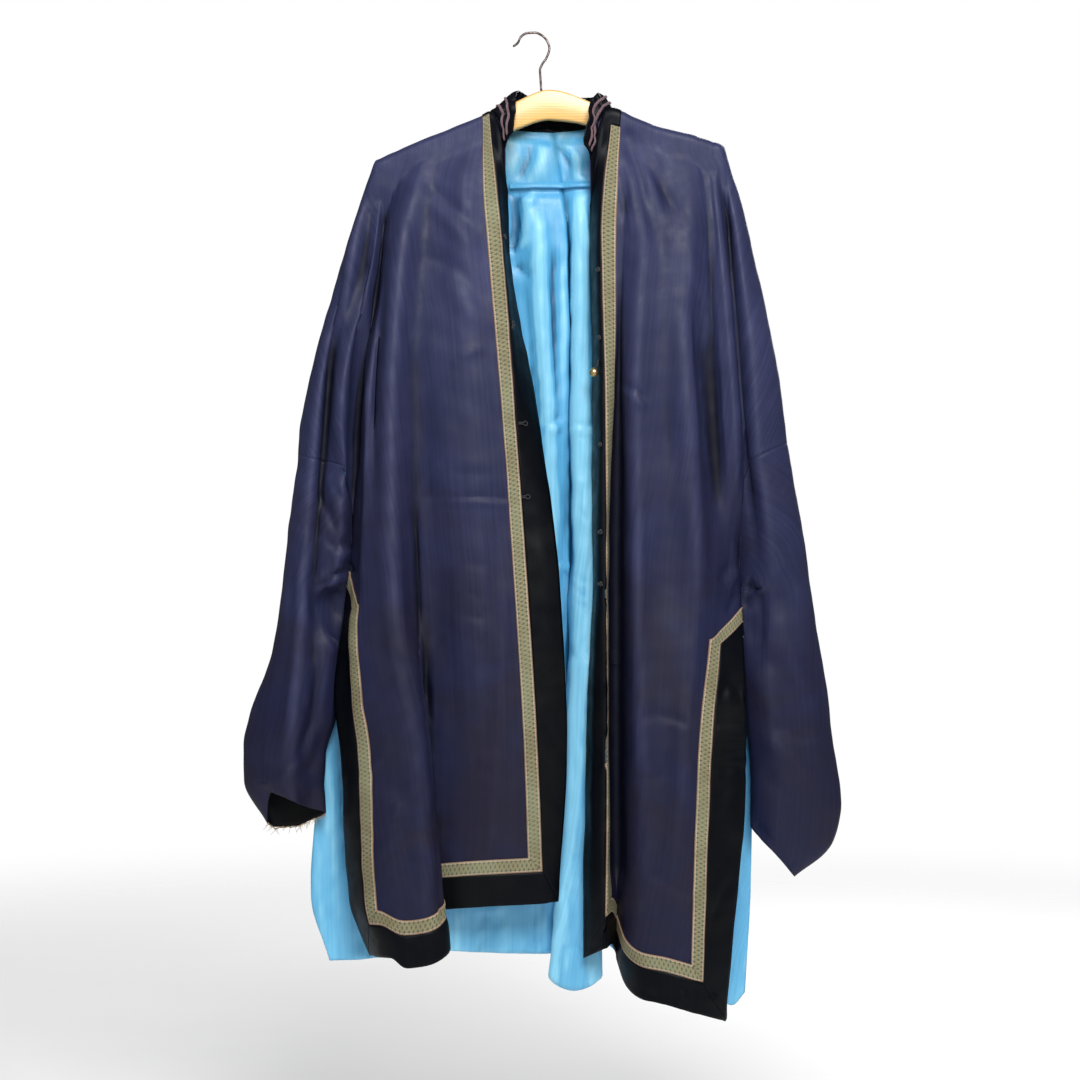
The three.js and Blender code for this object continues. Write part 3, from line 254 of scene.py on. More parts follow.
# The stand collar's top edge, from the left front round the back to the right front.
COLLAR_TOPS = {
    "left_end": (-22, -34, -131),
    "left_front": (-19, -16, -89),
    "left_shoulder": (-17, -4, -75),
    "left_back": (-13, 14, -71),
    "left_nape": (0, 21, -76),
    "nape": (28, 23, -77),
    "right_nape": (61, 21, -77),
    "right_back": (79, 15, -78),
    "right_shoulder": (85, -3, -76),
    "right_front": (76, -18, -88),
    "right_end": (65, -44, -149),
}

LINING_ROLL = {"past": 4, "rows": (1, 3)}
LINED_CELLS = 5  # of each back, above the underarm
NECK_CELLS = 3  # of each back, under the collar

# Cord fastenings on the front borders: x, z, the length of each strap and its turn.
LEFT_FROGS = ((-35, -261, 8, 0.0), (-24, -375, 8, 1.2), (-12, -497, 10, 0.0), (-8, -589, 8, 0.0))
RIGHT_FROGS = tuple(
    (x, z, 7, 0.0) for x, z in ((84, -304), (86, -390), (87, -524), (87, -633), (87, -698)))
CORD = 1.5  # diameter of the frogs' cord
KNOT_RADIUS = 3.4
CORD_RISE = 0.6  # of the cords over the border
CORD_SIDES = 8
WHIPPING_THREAD = 0.3  # radius of the thread round each strap
BUTTON = {"x": 85, "z": -433, "diameter": 11.7}

HANGER_THICKNESS = 13
HANGER_ROUNDING = 3
SMALLEST_ROUNDING = 0.4
HANGER_CLEARANCE = 2.2  # under the cloth of the shoulders
HANGER_TIPS = {"left": (-188, -161.5), "right": (233, -141.5)}
HANGER_CROWN = ((-50, -108), (-17, -86), (23, -72), (76, -88), (98, -103))
HANGER_DEPTHS = (
    (-188, 12), (-120, 19), (-53, 29), (-22, 35), (28, 38),
    (71, 31), (103, 27), (170, 19), (233, 12),
)

HOOK_WIRE = 3
HOOK_SHANK = ((13.2, -74.5), (12, -56), (11.4, -46.4), (14, -39.4), (19.8, -30.5))
HOOK_CROWN = {"centre": (1.5, -20.5), "radius": 22, "angles": (5, 30, 55, 80, 105, 128)}
HOOK_TIP = ((-17, -12), (-22.9, -16.5))


# The back of a ring has the front's x and z, but its own y, and hangs lower at the cuff.
SLEEVE_BACK_Y = (13, 16, 12)
LEFT_CUFF_BACK_DROP = (18, 37, 48)
RIGHT_CUFF_BACK_DROP = (0, 0, 0)

# Rows that the pieces are cut on, from the shoulder to the hem, with the fine cells below each.
SHOULDER_DROPS = (0, 4, 22)
OPEN_LEVELS = (-270, -370, -475, -580)
SKIRT_LEVELS = (-800, -930)
HEM_RISES = (TRIM_WIDTH, BORDER_WIDTH, BORDER_WIDTH / 2, 0)
LEFT_SIDE = {
    "underarm": -653, "trim_top": (-724, -683), "trim_bottom": (-742, -702), "ribbon_start": 1}
RIGHT_SIDE = {
    "underarm": -693, "trim_top": (-767, -728), "trim_bottom": (-785, -747), "ribbon_start": 2}
SLIT_SLANT = {"slit_ribbon_in": 0, "slit_ribbon_out": 0.31, "slit_middle": 0.66, "slit_edge": 1}

FINE = 6  # fine cells between two fold lines, and in each row of the hem's trim
ROW_CELLS = (6, 6, 28, 22, 24, 24, 20, 12, FINE, 18, 28, 44, FINE, FINE, FINE)
SLEEVE_CELLS = (30, 9, 15, 14, 12, 8, 12)
UNDERARM_ROW = 7
SLIT_TRIM_ROW = 8
SLIT_TOP_ROW = 9
HEM_ROW = len(ROW_CELLS)
COLLAR_CELLS = 16
COLLAR_FINE = 4  # cells of the gathered collar for each fine cell of the neck


# ---------------------------------------------------------------- smooth curves


def slope_means(steps, slopes):
    """Tangents at the places between the steps, weighted so that the curve can't overshoot."""
    before, after = slopes[:-1], slopes[1:]
    agree = before * after > 0
    weight_before = 2 * steps[1:] + steps[:-1]
    weight_after = steps[1:] + 2 * steps[:-1]
    pull = weight_before / np.where(agree, before, 1) + weight_after / np.where(agree, after, 1)
    return np.where(agree, (weight_before + weight_after) / pull, 0)


def curve_between(share, step, start, end, start_tangent, end_tangent):
    """The cubic curve from start to end, at a share of the step between them."""
    rest = 1 - share
    near = (1 + 2 * share) * rest**2 * start + share * rest**2 * step * start_tangent
    far = share**2 * (3 - 2 * share) * end - share**2 * rest * step * end_tangent
    return near + far


def open_tangents(steps, slopes):
    return np.concatenate([slopes[:1], slope_means(steps, slopes), slopes[-1:]])


def smooth_through(places, values):
    """A smooth curve through values at rising places, as a function of the place."""
    steps = np.diff(places)
    tangents = open_tangents(steps, np.diff(values) / steps)

    def at(place):
        i = np.clip(np.searchsorted(places, place, side="right") - 1, 0, len(steps) - 1)
        share = (place - places[i]) / steps[i]
        return curve_between(
            share, steps[i], values[i], values[i + 1], tangents[i], tangents[i + 1])

    return at


def smooth_run(points, cells, is_closed=False):
    """Points of the smooth curves that run along the first axis through the given points.

    cells is the number of steps between two given points, or one number for each gap."""
    if is_closed:
        points = np.concatenate([points, points[:1]])
    counts = [cells] * (len(points) - 1) if isinstance(cells, int) else cells
    steps = np.linalg.norm(np.diff(points, axis=0), axis=-1, keepdims=True) + 1e-6
    slopes = np.diff(points, axis=0) / steps
    if is_closed:
        around = slope_means(*[np.concatenate([row[-1:], row]) for row in (steps, slopes)])
        tangents = np.concatenate([around, around[:1]])
    else:
        tangents = open_tangents(steps, slopes)
    runs = []
    for i, count in enumerate(counts):
        share = (np.arange(count) / count).reshape(-1, *[1] * (points.ndim - 1))
        runs.append(curve_between(
            share, steps[i], points[i], points[i + 1], tangents[i], tangents[i + 1]))
    return np.concatenate([*runs, points[-1:]])


def smooth_step(share):
    share = np.clip(share, 0, 1)
    return share * share * (3 - 2 * share)


# ---------------------------------------------------------------- the cloth surface

FINE_ROWS = np.concatenate([
    *[row + np.arange(cells) / cells for row, cells in enumerate(ROW_CELLS)],
    [HEM_ROW],
])


class FoldLine:
    """A line down the cloth: its x and y at any height between its ends."""

    def __init__(self, knots):
        knots = np.array(sorted(knots, key=lambda knot: knot[2]), float)
        self.bottom, self.top = knots[0, 2], knots[-1, 2]
        self.x = smooth_through(knots[:, 2], knots[:, 0])
        self.y = smooth_through(knots[:, 2], knots[:, 1])

    def points(self, heights, outward, roll_share):
        """The line's points, kept off the middle plane where the cloth rolls over the hanger."""
        roll = shoulder_roll(self.top - heights) * roll_share
        y = outward * np.maximum(outward * self.y(heights), roll)
        return np.stack([self.x(heights), y, heights], axis=-1)


def shoulder_roll(drop):
    """How far the cloth stands off the middle of the hanger, a given drop below the shoulder."""
    depth, radius, reach = SHOULDER_ROLL["depth"], SHOULDER_ROLL["radius"], SHOULDER_ROLL["reach"]
    over = 1 - np.minimum(drop, radius) / radius
    down = np.clip((drop - radius) / (reach - radius), 0, 1)
    return depth * np.sqrt(1 - over**2) * (1 - down**2)


def body_line(row, top, knees):
    first, bust, waist, hip, thigh, hem = row
    levels = {"bust": bust, "waist": waist, "hip": hip, "thigh": thigh}
    knots = [(x, y, LEVEL_Z[level]) for level, (x, y) in levels.items()]
    return FoldLine([top or first, *knots, *knees, hem])


def sleeve_line(row, is_back):
    top, bust, waist, seam, back_y = row
    bust_y, waist_y, seam_y = back_y if is_back else (bust[1], waist[1], seam[1])
    return FoldLine([
        (top[0], 0, top[2]),
        (bust[0], bust_y, LEVEL_Z["bust"]),
        (waist[0], waist_y, LEVEL_Z["waist"]),
        (seam[0], seam_y, seam[2]),
    ])


def row_heights(line, side, slant):
    """The heights at which one line crosses the rows."""
    def slanted(key):
        inner, outer = side[key]
        return inner + (outer - inner) * slant
    return [
        *[line.top - drop for drop in SHOULDER_DROPS],
        *OPEN_LEVELS,
        side["underarm"],
        slanted("trim_top"),
        slanted("trim_bottom"),
        *SKIRT_LEVELS,
        *[line.bottom + rise for rise in HEM_RISES],
    ]


def centre_back_side():
    """The slit's rows where they would cross the centre back, half way between the two sides."""
    middle = {"underarm": (LEFT_SIDE["underarm"] + RIGHT_SIDE["underarm"]) / 2}
    for key in ("trim_top", "trim_bottom"):
        height = (LEFT_SIDE[key][0] + RIGHT_SIDE[key][0]) / 2
        middle[key] = (height, height)
    return middle


def on_fine_rows(values):
    return np.interp(FINE_ROWS, range(HEM_ROW + 1), values)


def body_points(table, knees, tops, side, outward):
    """The points of every body line at every fine row."""
    points = []
    for name, row in table.items():
        line = body_line(row, tops.get(name), knees.get(name, ()))
        own_side = centre_back_side() if name == "centre_back" else side
        heights = on_fine_rows(row_heights(line, own_side, SLIT_SLANT.get(name, 0)))
        hangs_from_shoulder = line.y(line.top) == 0
        points.append(line.points(heights, outward, 1 if hangs_from_shoulder else 0.5))
    return np.array(points)


def arm_points(table, side_points, underarm, is_back):
    """The points of the upper sleeve's lines at every fine row down to the underarm."""
    side_top = side_points[0, 2]
    share = np.clip((side_points[:, 2] - side_top) / (underarm - side_top), 0, 1)
    points = []
    for roll_share, row in zip((1, 1, 0.8, 0), table.values()):
        line = sleeve_line(row, is_back)
        heights = line.top + share * (line.bottom - line.top)
        points.append(line.points(heights, 1 if is_back else -1, roll_share))
    return np.array(points)


NECK_LINES = 3  # of each back; the rest hang from the same places as the front's lines


def make_half(front_table, front_knees, back_table, back_knees, arm_table, side):
    """One half of the robe, as a strip from the front edge round the arm to the centre back.

    The columns are the front's lines, the sleeve's front and back lines, and the back's lines."""
    front = body_points(front_table, front_knees, {}, side, -1)
    shoulder = [row[0] for row in list(front_table.values())[BORDER_CELLS:]]
    tops = dict(zip(list(back_table)[NECK_LINES:], shoulder))
    back = body_points(back_table, back_knees, tops, side, 1)
    sewn = on_fine_rows([UNDERARM_ROW <= row <= SLIT_TOP_ROW for row in range(HEM_ROW + 1)])
    back[-1] += (front[-1] - back[-1]) * smooth_step(sewn)[:, None]
    arm_front = arm_points(arm_table, front[-1], side["underarm"], False)
    arm_back = arm_points(arm_table, front[-1], side["underarm"], True)[:-1]
    lines = [front, arm_front, arm_back[::-1], back[::-1]]
    whole = smooth_run(np.concatenate(lines), FINE)
    arm = smooth_run(np.concatenate([front[-1:], arm_front, arm_back[::-1], back[-1:]]), FINE)
    apart = np.concatenate([smooth_run(front, FINE)[:-1], arm[:-1], smooth_run(back[::-1], FINE)])
    share = smooth_step(FINE_ROWS - (UNDERARM_ROW - 1))[:, None]
    strip = whole + (apart - whole) * share
    # The back's shoulder edge is the front's, from the outer edge to the neck's side.
    outer_edge = FINE * (len(front) + len(arm_front) - 1)
    shared = outer_edge - FINE * BORDER_CELLS + 1
    front_edge = strip[outer_edge - shared + 1:outer_edge + 1, 0]
    strip[outer_edge:outer_edge + shared, 0] = front_edge[::-1]
    return strip


def lower_sleeve(strip, side_columns, table, cuff_drop):
    """A lower sleeve as rings, from the sleeve seam to the cuff, each from the inner edge round
    the front to the outer edge and back."""
    first, last = side_columns
    seam_row = int(np.flatnonzero(FINE_ROWS == UNDERARM_ROW)[0])
    seam = strip[first:last + 1, seam_row]
    rings = [seam[:-1:FINE]]
    for name, lines in table.items():
        drops = cuff_drop if name == "cuff" else (0, 0, 0)
        back = [(lines[k][0], SLEEVE_BACK_Y[k - 1], lines[k][2] - drops[k - 1]) for k in (3, 2, 1)]
        rings.append(np.array([*lines, *back], float))
    down = smooth_run(np.array(rings), SLEEVE_CELLS)
    around = smooth_run(down.swapaxes(0, 1), FINE, is_closed=True)
    fade = 1 - smooth_step(np.arange(len(down)) / SLEEVE_CELLS[0])
    return around + (seam - around[:, 0])[:, None] * fade[None, :, None]


# ---------------------------------------------------------------- creases
# Troughs and ridges that are pressed into the surface. Each has its own width and
# depth, outwards where the depth is positive, and follows a line of (x, z) points. It fades
# out over its width to its sides and over a share of its length at its two ends.


def crease(width, depth, *line, fades=(0.25, 0.25), is_sharp=False):
    return {"width": width, "depth": depth, "line": line, "fades": fades, "is_sharp": is_sharp}


LEFT_FRONT_CREASES = [
    # between the sleeve and the body
    crease(6, -6.5, (-200, -205), (-205, -260), (-213, -340), (-220, -430), (-223, -520),
           (-220, -600), fades=(0.3, 0.25)),
    crease(3, 2.2, (-205, -300), (-206, -380), (-205, -500)),
    crease(6, 4, (-215, -225), (-232, -320), (-240, -410), (-243, -500), (-238, -570)),
    crease(5, -7, (-226, -240), (-249, -370), (-257, -450), (-264, -540), (-271, -640),
           (-276, -730), fades=(0.3, 0.1)),
    crease(6, 3, (-250, -380), (-271, -520), (-281, -620), (-290, -720), (-297, -800), (-303, -870),
           (-322, -935)),
    # the body's folds
    crease(10, 4.5, (-176, -185), (-168, -280), (-175, -400), (-183, -520), (-181, -640),
           (-172, -750), (-160, -850), (-148, -920), (-136, -990), fades=(0.15, 0.3)),
    crease(6, -3, (-189, -190), (-192, -290), (-198, -400)),
    crease(4, -6, (-152, -480), (-147, -560), (-143, -650), (-140, -720), (-135, -810),
           (-126, -885), (-119, -960), (-114, -1040), (-110, -1120), fades=(0.3, 0.02),
           is_sharp=True),
    crease(12, -4.5, (-150, -380), (-141, -450), (-136, -540), (-128, -640)),
    crease(14, -4, (-118, -640), (-108, -760), (-100, -900), (-92, -1040), fades=(0.3, 0.1)),
    crease(9, 2.5, (-112, -420), (-105, -560), (-92, -700), (-85, -850)),
    crease(6, 2.2, (-33, -640), (-34, -740), (-39, -880), (-44, -990), (-47, -1050),
           fades=(0.2, 0.1)),
    crease(5, -2.4, (-42, -590), (-45, -680), (-50, -800), (-56, -950)),
    crease(14, 3, (-85, -150), (-86, -260), (-80, -360), fades=(0.2, 0.5)),
    # drag lines from the shoulder and the neck
    crease(6, -2.4, (-168, -182), (-140, -184), (-112, -208), (-84, -238), (-60, -264)),
    crease(6, 1.8, (-150, -196), (-122, -222), (-95, -255), (-66, -282)),
    crease(6, -2, (-150, -288), (-118, -292), (-92, -302), (-72, -330), (-52, -362)),
    crease(8, 1.6, (-120, -315), (-90, -340), (-66, -380)),
    crease(3.5, 1.6, (-90, -416), (-74, -408), (-58, -402)),
    crease(12, -2.4, (-172, -385), (-148, -378), (-128, -392)),
    # storage folds across the front
    crease(3, -1.6, (-150, -590), (-110, -589), (-60, -589), (-26, -592), fades=(0.3, 0.05)),
    crease(3, 1.4, (-112, -596), (-70, -596), (-26, -598), fades=(0.2, 0.05)),
    crease(5, -1, (-105, -556), (-70, -560), (-40, -560)),
    crease(5, -1.2, (-96, -676), (-74, -671), (-52, -676)),
    crease(4, -1.1, (-94, -716), (-78, -709), (-58, -714)),
    crease(4, -1, (-92, -742), (-74, -738), (-60, -744)),
    crease(5, -1, (-108, -955), (-70, -958), (-40, -950)),
    # handling marks near the hem
    crease(3, 1.6, (-160, -966), (-164, -976), (-166, -990)),
    crease(3, 1.4, (-169, -992), (-171, -1004)),
    crease(13, -3, (-194, -920), (-176, -940), (-160, -962)),
    crease(9, 2, (-188, -1010), (-176, -1050), (-170, -1100)),
    crease(4, 1.6, (-153, -1128), (-151, -1158), (-153, -1182), fades=(0.2, 0.02)),
    crease(3, -1.2, (-190, -1136), (-200, -1172), fades=(0.1, 0.02)),
    crease(3, -1.6, (-48, -1054), (-46, -1104), fades=(0.3, 0.02)),
]

LEFT_SLEEVE_CREASES = [
    # crumpled cloth in the bend of the arm
    crease(4, -3.4, (-270, -575), (-258, -602), (-244, -636)),
    crease(4, 3, (-256, -560), (-246, -590), (-238, -620)),
    crease(3.5, -2.6, (-240, -548), (-233, -566), (-230, -588)),
    crease(3.5, 2.6, (-246, -566), (-238, -578), (-229, -584)),
    crease(4, -3, (-262, -640), (-246, -652), (-228, -640)),
    crease(4, 3, (-254, -664), (-240, -662), (-226, -652)),
    crease(4, -4, (-274, -706), (-255, -692), (-236, -684), (-224, -676), fades=(0.1, 0.05)),
    crease(4, 3.4, (-278, -712), (-268, -742), (-258, -768), (-247, -790), fades=(0.1, 0.1)),
    crease(6, -4, (-264, -702), (-254, -716), (-246, -750), fades=(0.15, 0.3)),
    crease(4, -4, (-268, -704), (-252, -690), (-238, -682), fades=(0.1, 0.1), is_sharp=True),
    # the lower arm
    crease(6, 3.6, (-290, -660), (-289, -740), (-294, -820), (-304, -890), (-322, -940),
           fades=(0.1, 0.3)),
    crease(5, -7, (-276, -740), (-272, -820), (-276, -870), (-288, -915), (-306, -942)),
    crease(3, 2.6, (-270, -780), (-277, -820), (-281, -850), (-276, -868)),
    crease(3.5, 2.8, (-268, -868), (-282, -905), (-298, -930), (-322, -950)),
    crease(4, -3, (-262, -880), (-272, -918), (-290, -950)),
    crease(3.5, -2, (-337, -850), (-340, -900), (-338, -950), fades=(0.2, 0.02)),
    crease(5, 1.6, (-330, -880), (-332, -930)),
    crease(3, -1.6, (-336, -962), (-312, -970), (-286, -984), (-266, -990), fades=(0.05, 0.05)),
    crease(3, -2, (-312, -962), (-309, -986)),
]

RIGHT_FRONT_CREASES = [
    # drag lines from the neck
    crease(6, -3.2, (116, -118), (138, -158), (162, -196), (184, -232), (198, -262),
           fades=(0.1, 0.4)),
    crease(5, -2.6, (120, -138), (138, -184), (148, -236), (160, -296), fades=(0.1, 0.4)),
    crease(6, 2.4, (124, -132), (150, -190), (170, -250), (182, -310), fades=(0.1, 0.4)),
    crease(5, -2, (110, -164), (114, -200), (121, -244)),
    crease(6, 2, (114, -140), (126, -200), (136, -270)),
    # the body's folds
    crease(10, -9, (196, -290), (208, -350), (219, -430), (229, -520), (235, -600), (243, -664),
           fades=(0.3, 0.25)),
    crease(6, 3.4, (238, -190), (242, -280), (250, -380), (257, -460), (264, -550), (272, -640),
           (276, -690), fades=(0.3, 0.2)),
    crease(3.6, -5.5, (247, -165), (250, -240), (254, -330), (262, -420), (269, -500), (277, -580),
           (286, -650), (294, -700), fades=(0.2, 0.25), is_sharp=True),
    crease(10, 3, (186, -300), (188, -420), (196, -540), (206, -650), (210, -760)),
    crease(9, -2.6, (166, -430), (172, -520), (172, -640), (176, -760)),
    crease(8, 3, (132, -300), (128, -430), (130, -560), (134, -700), (136, -860), (142, -1000),
           (144, -1120), fades=(0.15, 0.05)),
    crease(7, -8, (110, -330), (108, -500), (107, -640), (107, -800), (108, -960), (110, -1090),
           fades=(0.3, 0.05)),
    crease(12, -2.2, (168, -780), (172, -900), (164, -1020)),
    crease(10, 2, (188, -800), (186, -900), (180, -1000), (172, -1100)),
    crease(3, -2, (112, -443), (128, -452), (146, -472)),
    crease(3, 1.6, (110, -450), (126, -462), (142, -480)),
    crease(3, -1.4, (204, -324), (212, -340), (220, -352)),
    crease(3, 1.2, (221, -352), (224, -380), (219, -410)),
    crease(5, -1.2, (128, -1052), (160, -1060), (200, -1084), fades=(0.1, 0.05)),
    crease(4, -1, (126, -868), (156, -858), (196, -872)),
    crease(4, -1.2, (172, -858), (186, -866), (200, -874)),
    crease(5, -1.2, (120, -930), (150, -938), (184, -930)),
    # crumples under the arm
    crease(4, -3, (236, -700), (244, -684), (258, -668)),
    crease(3.5, 2.6, (246, -706), (256, -690), (266, -676)),
    crease(3.5, -1.2, (260, -640), (263, -664), (262, -690)),
    crease(3.5, 2, (256, -640), (258, -664), (254, -690)),
    crease(4, -3, (246, -740), (254, -722), (262, -706)),
    # the slit's border
    crease(5, -3, (230, -846), (246, -822), (258, -830), (268, -856)),
    crease(3, 2, (230, -879), (250, -882), (272, -887), fades=(0.05, 0.05)),
    crease(4, -2, (234, -902), (254, -906), (272, -904)),
    crease(5, -2.4, (232, -928), (256, -926), (272, -936)),
    crease(7, 2.2, (250, -950), (248, -990), (252, -1020)),
    crease(3, 1.8, (188, -1196), (183, -1220), (176, -1236), fades=(0.1, 0.02)),
    crease(4, -2, (222, -1120), (238, -1080), (256, -1060)),
    crease(4, -1.6, (150, -1196), (156, -1228), fades=(0.2, 0.02)),
    crease(4, 1.8, (222, -1204), (240, -1238), fades=(0.2, 0.02)),
    # the opening's border
    crease(3, 1.4, (96, -440), (88, -600), (84, -760), (80, -960), (82, -1120)),
    crease(4, -1.4, (76, -900), (84, -912), (92, -930)),
    crease(4, -1.8, (100, -1110), (88, -1140), (74, -1166)),
]

RIGHT_SLEEVE_CREASES = [
    crease(5, -9, (270, -698), (278, -704), (286, -712), fades=(0.1, 0.1)),
    crease(4, -4, (272, -704), (273, -720), (275, -734), fades=(0.1, 0.3)),
    crease(3, -2.6, (288, -700), (293, -740), (290, -780)),
    crease(9, -2.4, (270, -740), (298, -790), (330, -830), (356, -866), fades=(0.05, 0.3)),
    crease(8, 2.6, (276, -800), (300, -850), (320, -880)),
    crease(5, -2.6, (296, -866), (326, -880), (358, -900)),
    crease(6, 3.4, (288, -884), (314, -908), (338, -928), (356, -944)),
    crease(7, -2, (290, -930), (312, -954), (340, -972)),
    crease(4, -2, (284, -1000), (308, -1030), (332, -1060), fades=(0.05, 0.02)),
    crease(10, -1.8, (330, -700), (344, -780), (360, -850)),
    crease(8, 1.8, (312, -720), (330, -800), (350, -850)),
    crease(3, -1.4, (300, -566), (314, -578), (322, -570)),
    crease(4, -1.6, (278, -560), (284, -590), (290, -640)),
    crease(3, 1, (282, -541), (304, -532), (323, -520)),
]

LEFT_BACK_CREASES = [
    crease(7, -4.5, (-206, -250), (-212, -360), (-220, -480), (-222, -580), (-226, -650)),
    crease(6, 3, (-222, -240), (-238, -360), (-244, -480), (-240, -600)),
    crease(4, -3.4, (-238, -300), (-256, -430), (-266, -560), (-276, -690)),
    crease(10, 3.4, (-176, -200), (-168, -330), (-176, -480), (-182, -640), (-186, -800),
           (-190, -980)),
    crease(5, -4, (-150, -360), (-144, -520), (-150, -680), (-152, -840), (-150, -1020),
           is_sharp=True),
    crease(12, 3, (-112, -180), (-110, -340), (-116, -520), (-118, -720)),
    crease(7, -3, (-86, -300), (-92, -470), (-100, -640), (-104, -860), (-108, -1080)),
    crease(9, 2.8, (-54, -160), (-52, -330), (-44, -520), (-40, -760), (-38, -1000)),
    crease(6, -2.8, (-14, -260), (-4, -460), (2, -680), (4, -920)),
    crease(8, 2.4, (24, -240), (30, -420), (30, -640), (28, -900)),
    crease(6, -2.2, (-160, -186), (-120, -206), (-76, -246)),
    crease(5, -1.6, (-130, -286), (-84, -300), (-40, -340)),
    crease(3, -1.6, (-150, -592), (-90, -588), (-20, -594), (30, -590)),
    crease(3, 1.3, (-150, -599), (-90, -596), (-20, -601), (30, -597)),
    crease(4, 1.6, (-170, -770), (-150, -800), (-140, -850)),
    crease(9, -2.4, (-230, -900), (-214, -960), (-206, -1040)),
    crease(5, 1.6, (-210, -1060), (-206, -1110), (-210, -1160)),
]

RIGHT_BACK_CREASES = [
    crease(8, -5, (214, -260), (226, -380), (238, -500), (250, -610), (262, -700)),
    crease(6, 3, (240, -200), (250, -340), (262, -480), (270, -620)),
    crease(4, -4, (250, -200), (258, -340), (268, -480), (282, -620), (292, -690), is_sharp=True),
    crease(11, 3.2, (190, -200), (186, -360), (190, -540), (200, -720), (198, -920), (196, -1100)),
    crease(6, -3.6, (158, -300), (160, -480), (166, -680), (160, -880), (158, -1080)),
    crease(10, 3, (130, -190), (128, -360), (128, -560), (130, -780), (126, -1000)),
    crease(5, -3, (104, -320), (106, -500), (108, -700)),
    crease(8, 2.6, (78, -220), (76, -400), (76, -620)),
    crease(6, -2.2, (190, -170), (150, -200), (110, -250)),
    crease(5, -1.8, (206, -260), (170, -280), (130, -330)),
    crease(3, -1.6, (60, -591), (130, -588), (200, -593), (252, -588)),
    crease(3, 1.3, (60, -598), (130, -596), (200, -600), (252, -596)),
    crease(8, -2.2, (220, -860), (214, -940), (212, -1040)),
    crease(4, 1.6, (180, -1120), (184, -1170), (182, -1210)),
]

# The lining comes towards the front, so its folds are given as how far they stand forward.
LINING_CREASES = [
    # above the tuck
    crease(6, -3.4, (0, -132), (-6, -158), (-16, -190)),
    crease(7, 3, (16, -130), (14, -160), (8, -190)),
    crease(4, -1.8, (28, -136), (44, -152), (58, -172)),
    crease(4, 1.8, (36, -132), (54, -150), (66, -176)),
    crease(3.5, -1.8, (46, -146), (50, -170), (49, -190)),
    crease(5, 2, (58, -150), (60, -190)),
    crease(4, -2, (68, -160), (64, -182)),
    # below the tuck
    crease(7, -9, (-22, -198), (-17, -222), (-17, -252), (-26, -276), fades=(0.02, 0.1)),
    crease(4, -5, (-40, -199), (20, -199), (90, -196), fades=(0.05, 0.05)),
    crease(5, 5, (-4, -204), (-7, -240), (-8, -262), (-20, -284), fades=(0.05, 0.3)),
    crease(4, -3, (-24, -292), (-10, -298), (6, -308)),
    crease(8, 4, (8, -215), (12, -300), (16, -400), (26, -480), (30, -540), fades=(0.1, 0.3)),
    crease(5, -6, (24, -230), (26, -340), (30, -430), (38, -520), (42, -600), (41, -680),
           (46, -780), (50, -860), fades=(0.2, 0.1)),
    crease(4.5, 3, (40, -205), (42, -300), (44, -390), (46, -440), fades=(0.1, 0.3)),
    crease(3.5, -4, (50, -230), (50, -400), (50, -520), (52, -640), (54, -720), fades=(0.1, 0.1)),
    crease(6, 3.4, (62, -205), (64, -330), (66, -480), (70, -620), (72, -700), fades=(0.1, 0.2)),
    crease(3.5, -1.8, (76, -220), (76, -300), (78, -380)),
    # small breaks in the silk
    crease(3, -2, (54, -492), (66, -501), (80, -490)),
    crease(3, 1.8, (56, -500), (67, -508), (80, -499)),
    crease(3, -1.6, (60, -514), (72, -505)),
    crease(3, -2, (20, -500), (32, -488), (42, -484)),
    crease(3, 1.6, (24, -508), (40, -494)),
    crease(3, -1.4, (20, -470), (28, -482), (28, -492)),
    crease(3.5, 2.6, (32, -672), (40, -678), (50, -676)),
    crease(3, -1.6, (58, -690), (66, -694), (74, -690)),
    crease(3, -1.6, (56, -706), (66, -710), (72, -706)),
    crease(3, -1.4, (58, -724), (66, -727), (72, -722)),
    crease(3, -1.4, (60, -606), (68, -612), (76, -624)),
    crease(3, 1.4, (58, -562), (64, -572), (62, -586)),
    crease(3, -1.2, (46, -1042), (56, -1046), (66, -1044)),
    crease(3, 1.4, (38, -1076), (54, -1080), (68, -1078), fades=(0.05, 0.05)),
    crease(3, -1.2, (40, -1098), (54, -1094), (66, -1100)),
    crease(4, -1.4, (30, -1160), (50, -1156), (78, -1162)),
    crease(5, 2, (46, -1100), (44, -1150), (48, -1206)),
    # at the sides, below the slits
    crease(7, 3, (-262, -900), (-258, -980), (-252, -1080), (-246, -1170)),
    crease(5, -2.6, (-250, -880), (-244, -980), (-236, -1090)),
    crease(6, 2.6, (-270, -1000), (-272, -1080), (-262, -1160)),
    crease(6, 2, (-90, -1110), (-60, -1116), (-20, -1108)),
    crease(4, -1.8, (0, -1104), (4, -1136), (2, -1168)),
    crease(4, 2, (262, -900), (268, -1000), (266, -1120)),
]

COLLAR_CREASES = [
    crease(3, -3, (-34, -124), (-44, -112), (-50, -98)),
    crease(3, 3, (-26, -126), (-38, -110), (-44, -96)),
    crease(3, -2.7, (-22, -118), (-30, -102), (-34, -90)),
    crease(3, 2.4, (-52, -104), (-40, -100), (-26, -96)),
    crease(3, -2.7, (-50, -98), (-38, -92), (-24, -88)),
    crease(3, 3, (92, -112), (86, -122), (78, -134)),
    crease(3, -3.6, (86, -108), (80, -118), (72, -130)),
    crease(3, -3, (98, -118), (90, -134), (80, -150)),
    crease(3, 2.7, (76, -136), (82, -146), (80, -158)),
    crease(3, -2.4, (84, -84), (80, -98), (76, -112)),
]


def run_along(path):
    """The distance along a path from its start to each of its points."""
    return np.concatenate([[0], np.cumsum(np.linalg.norm(np.diff(path, axis=0), axis=1))])


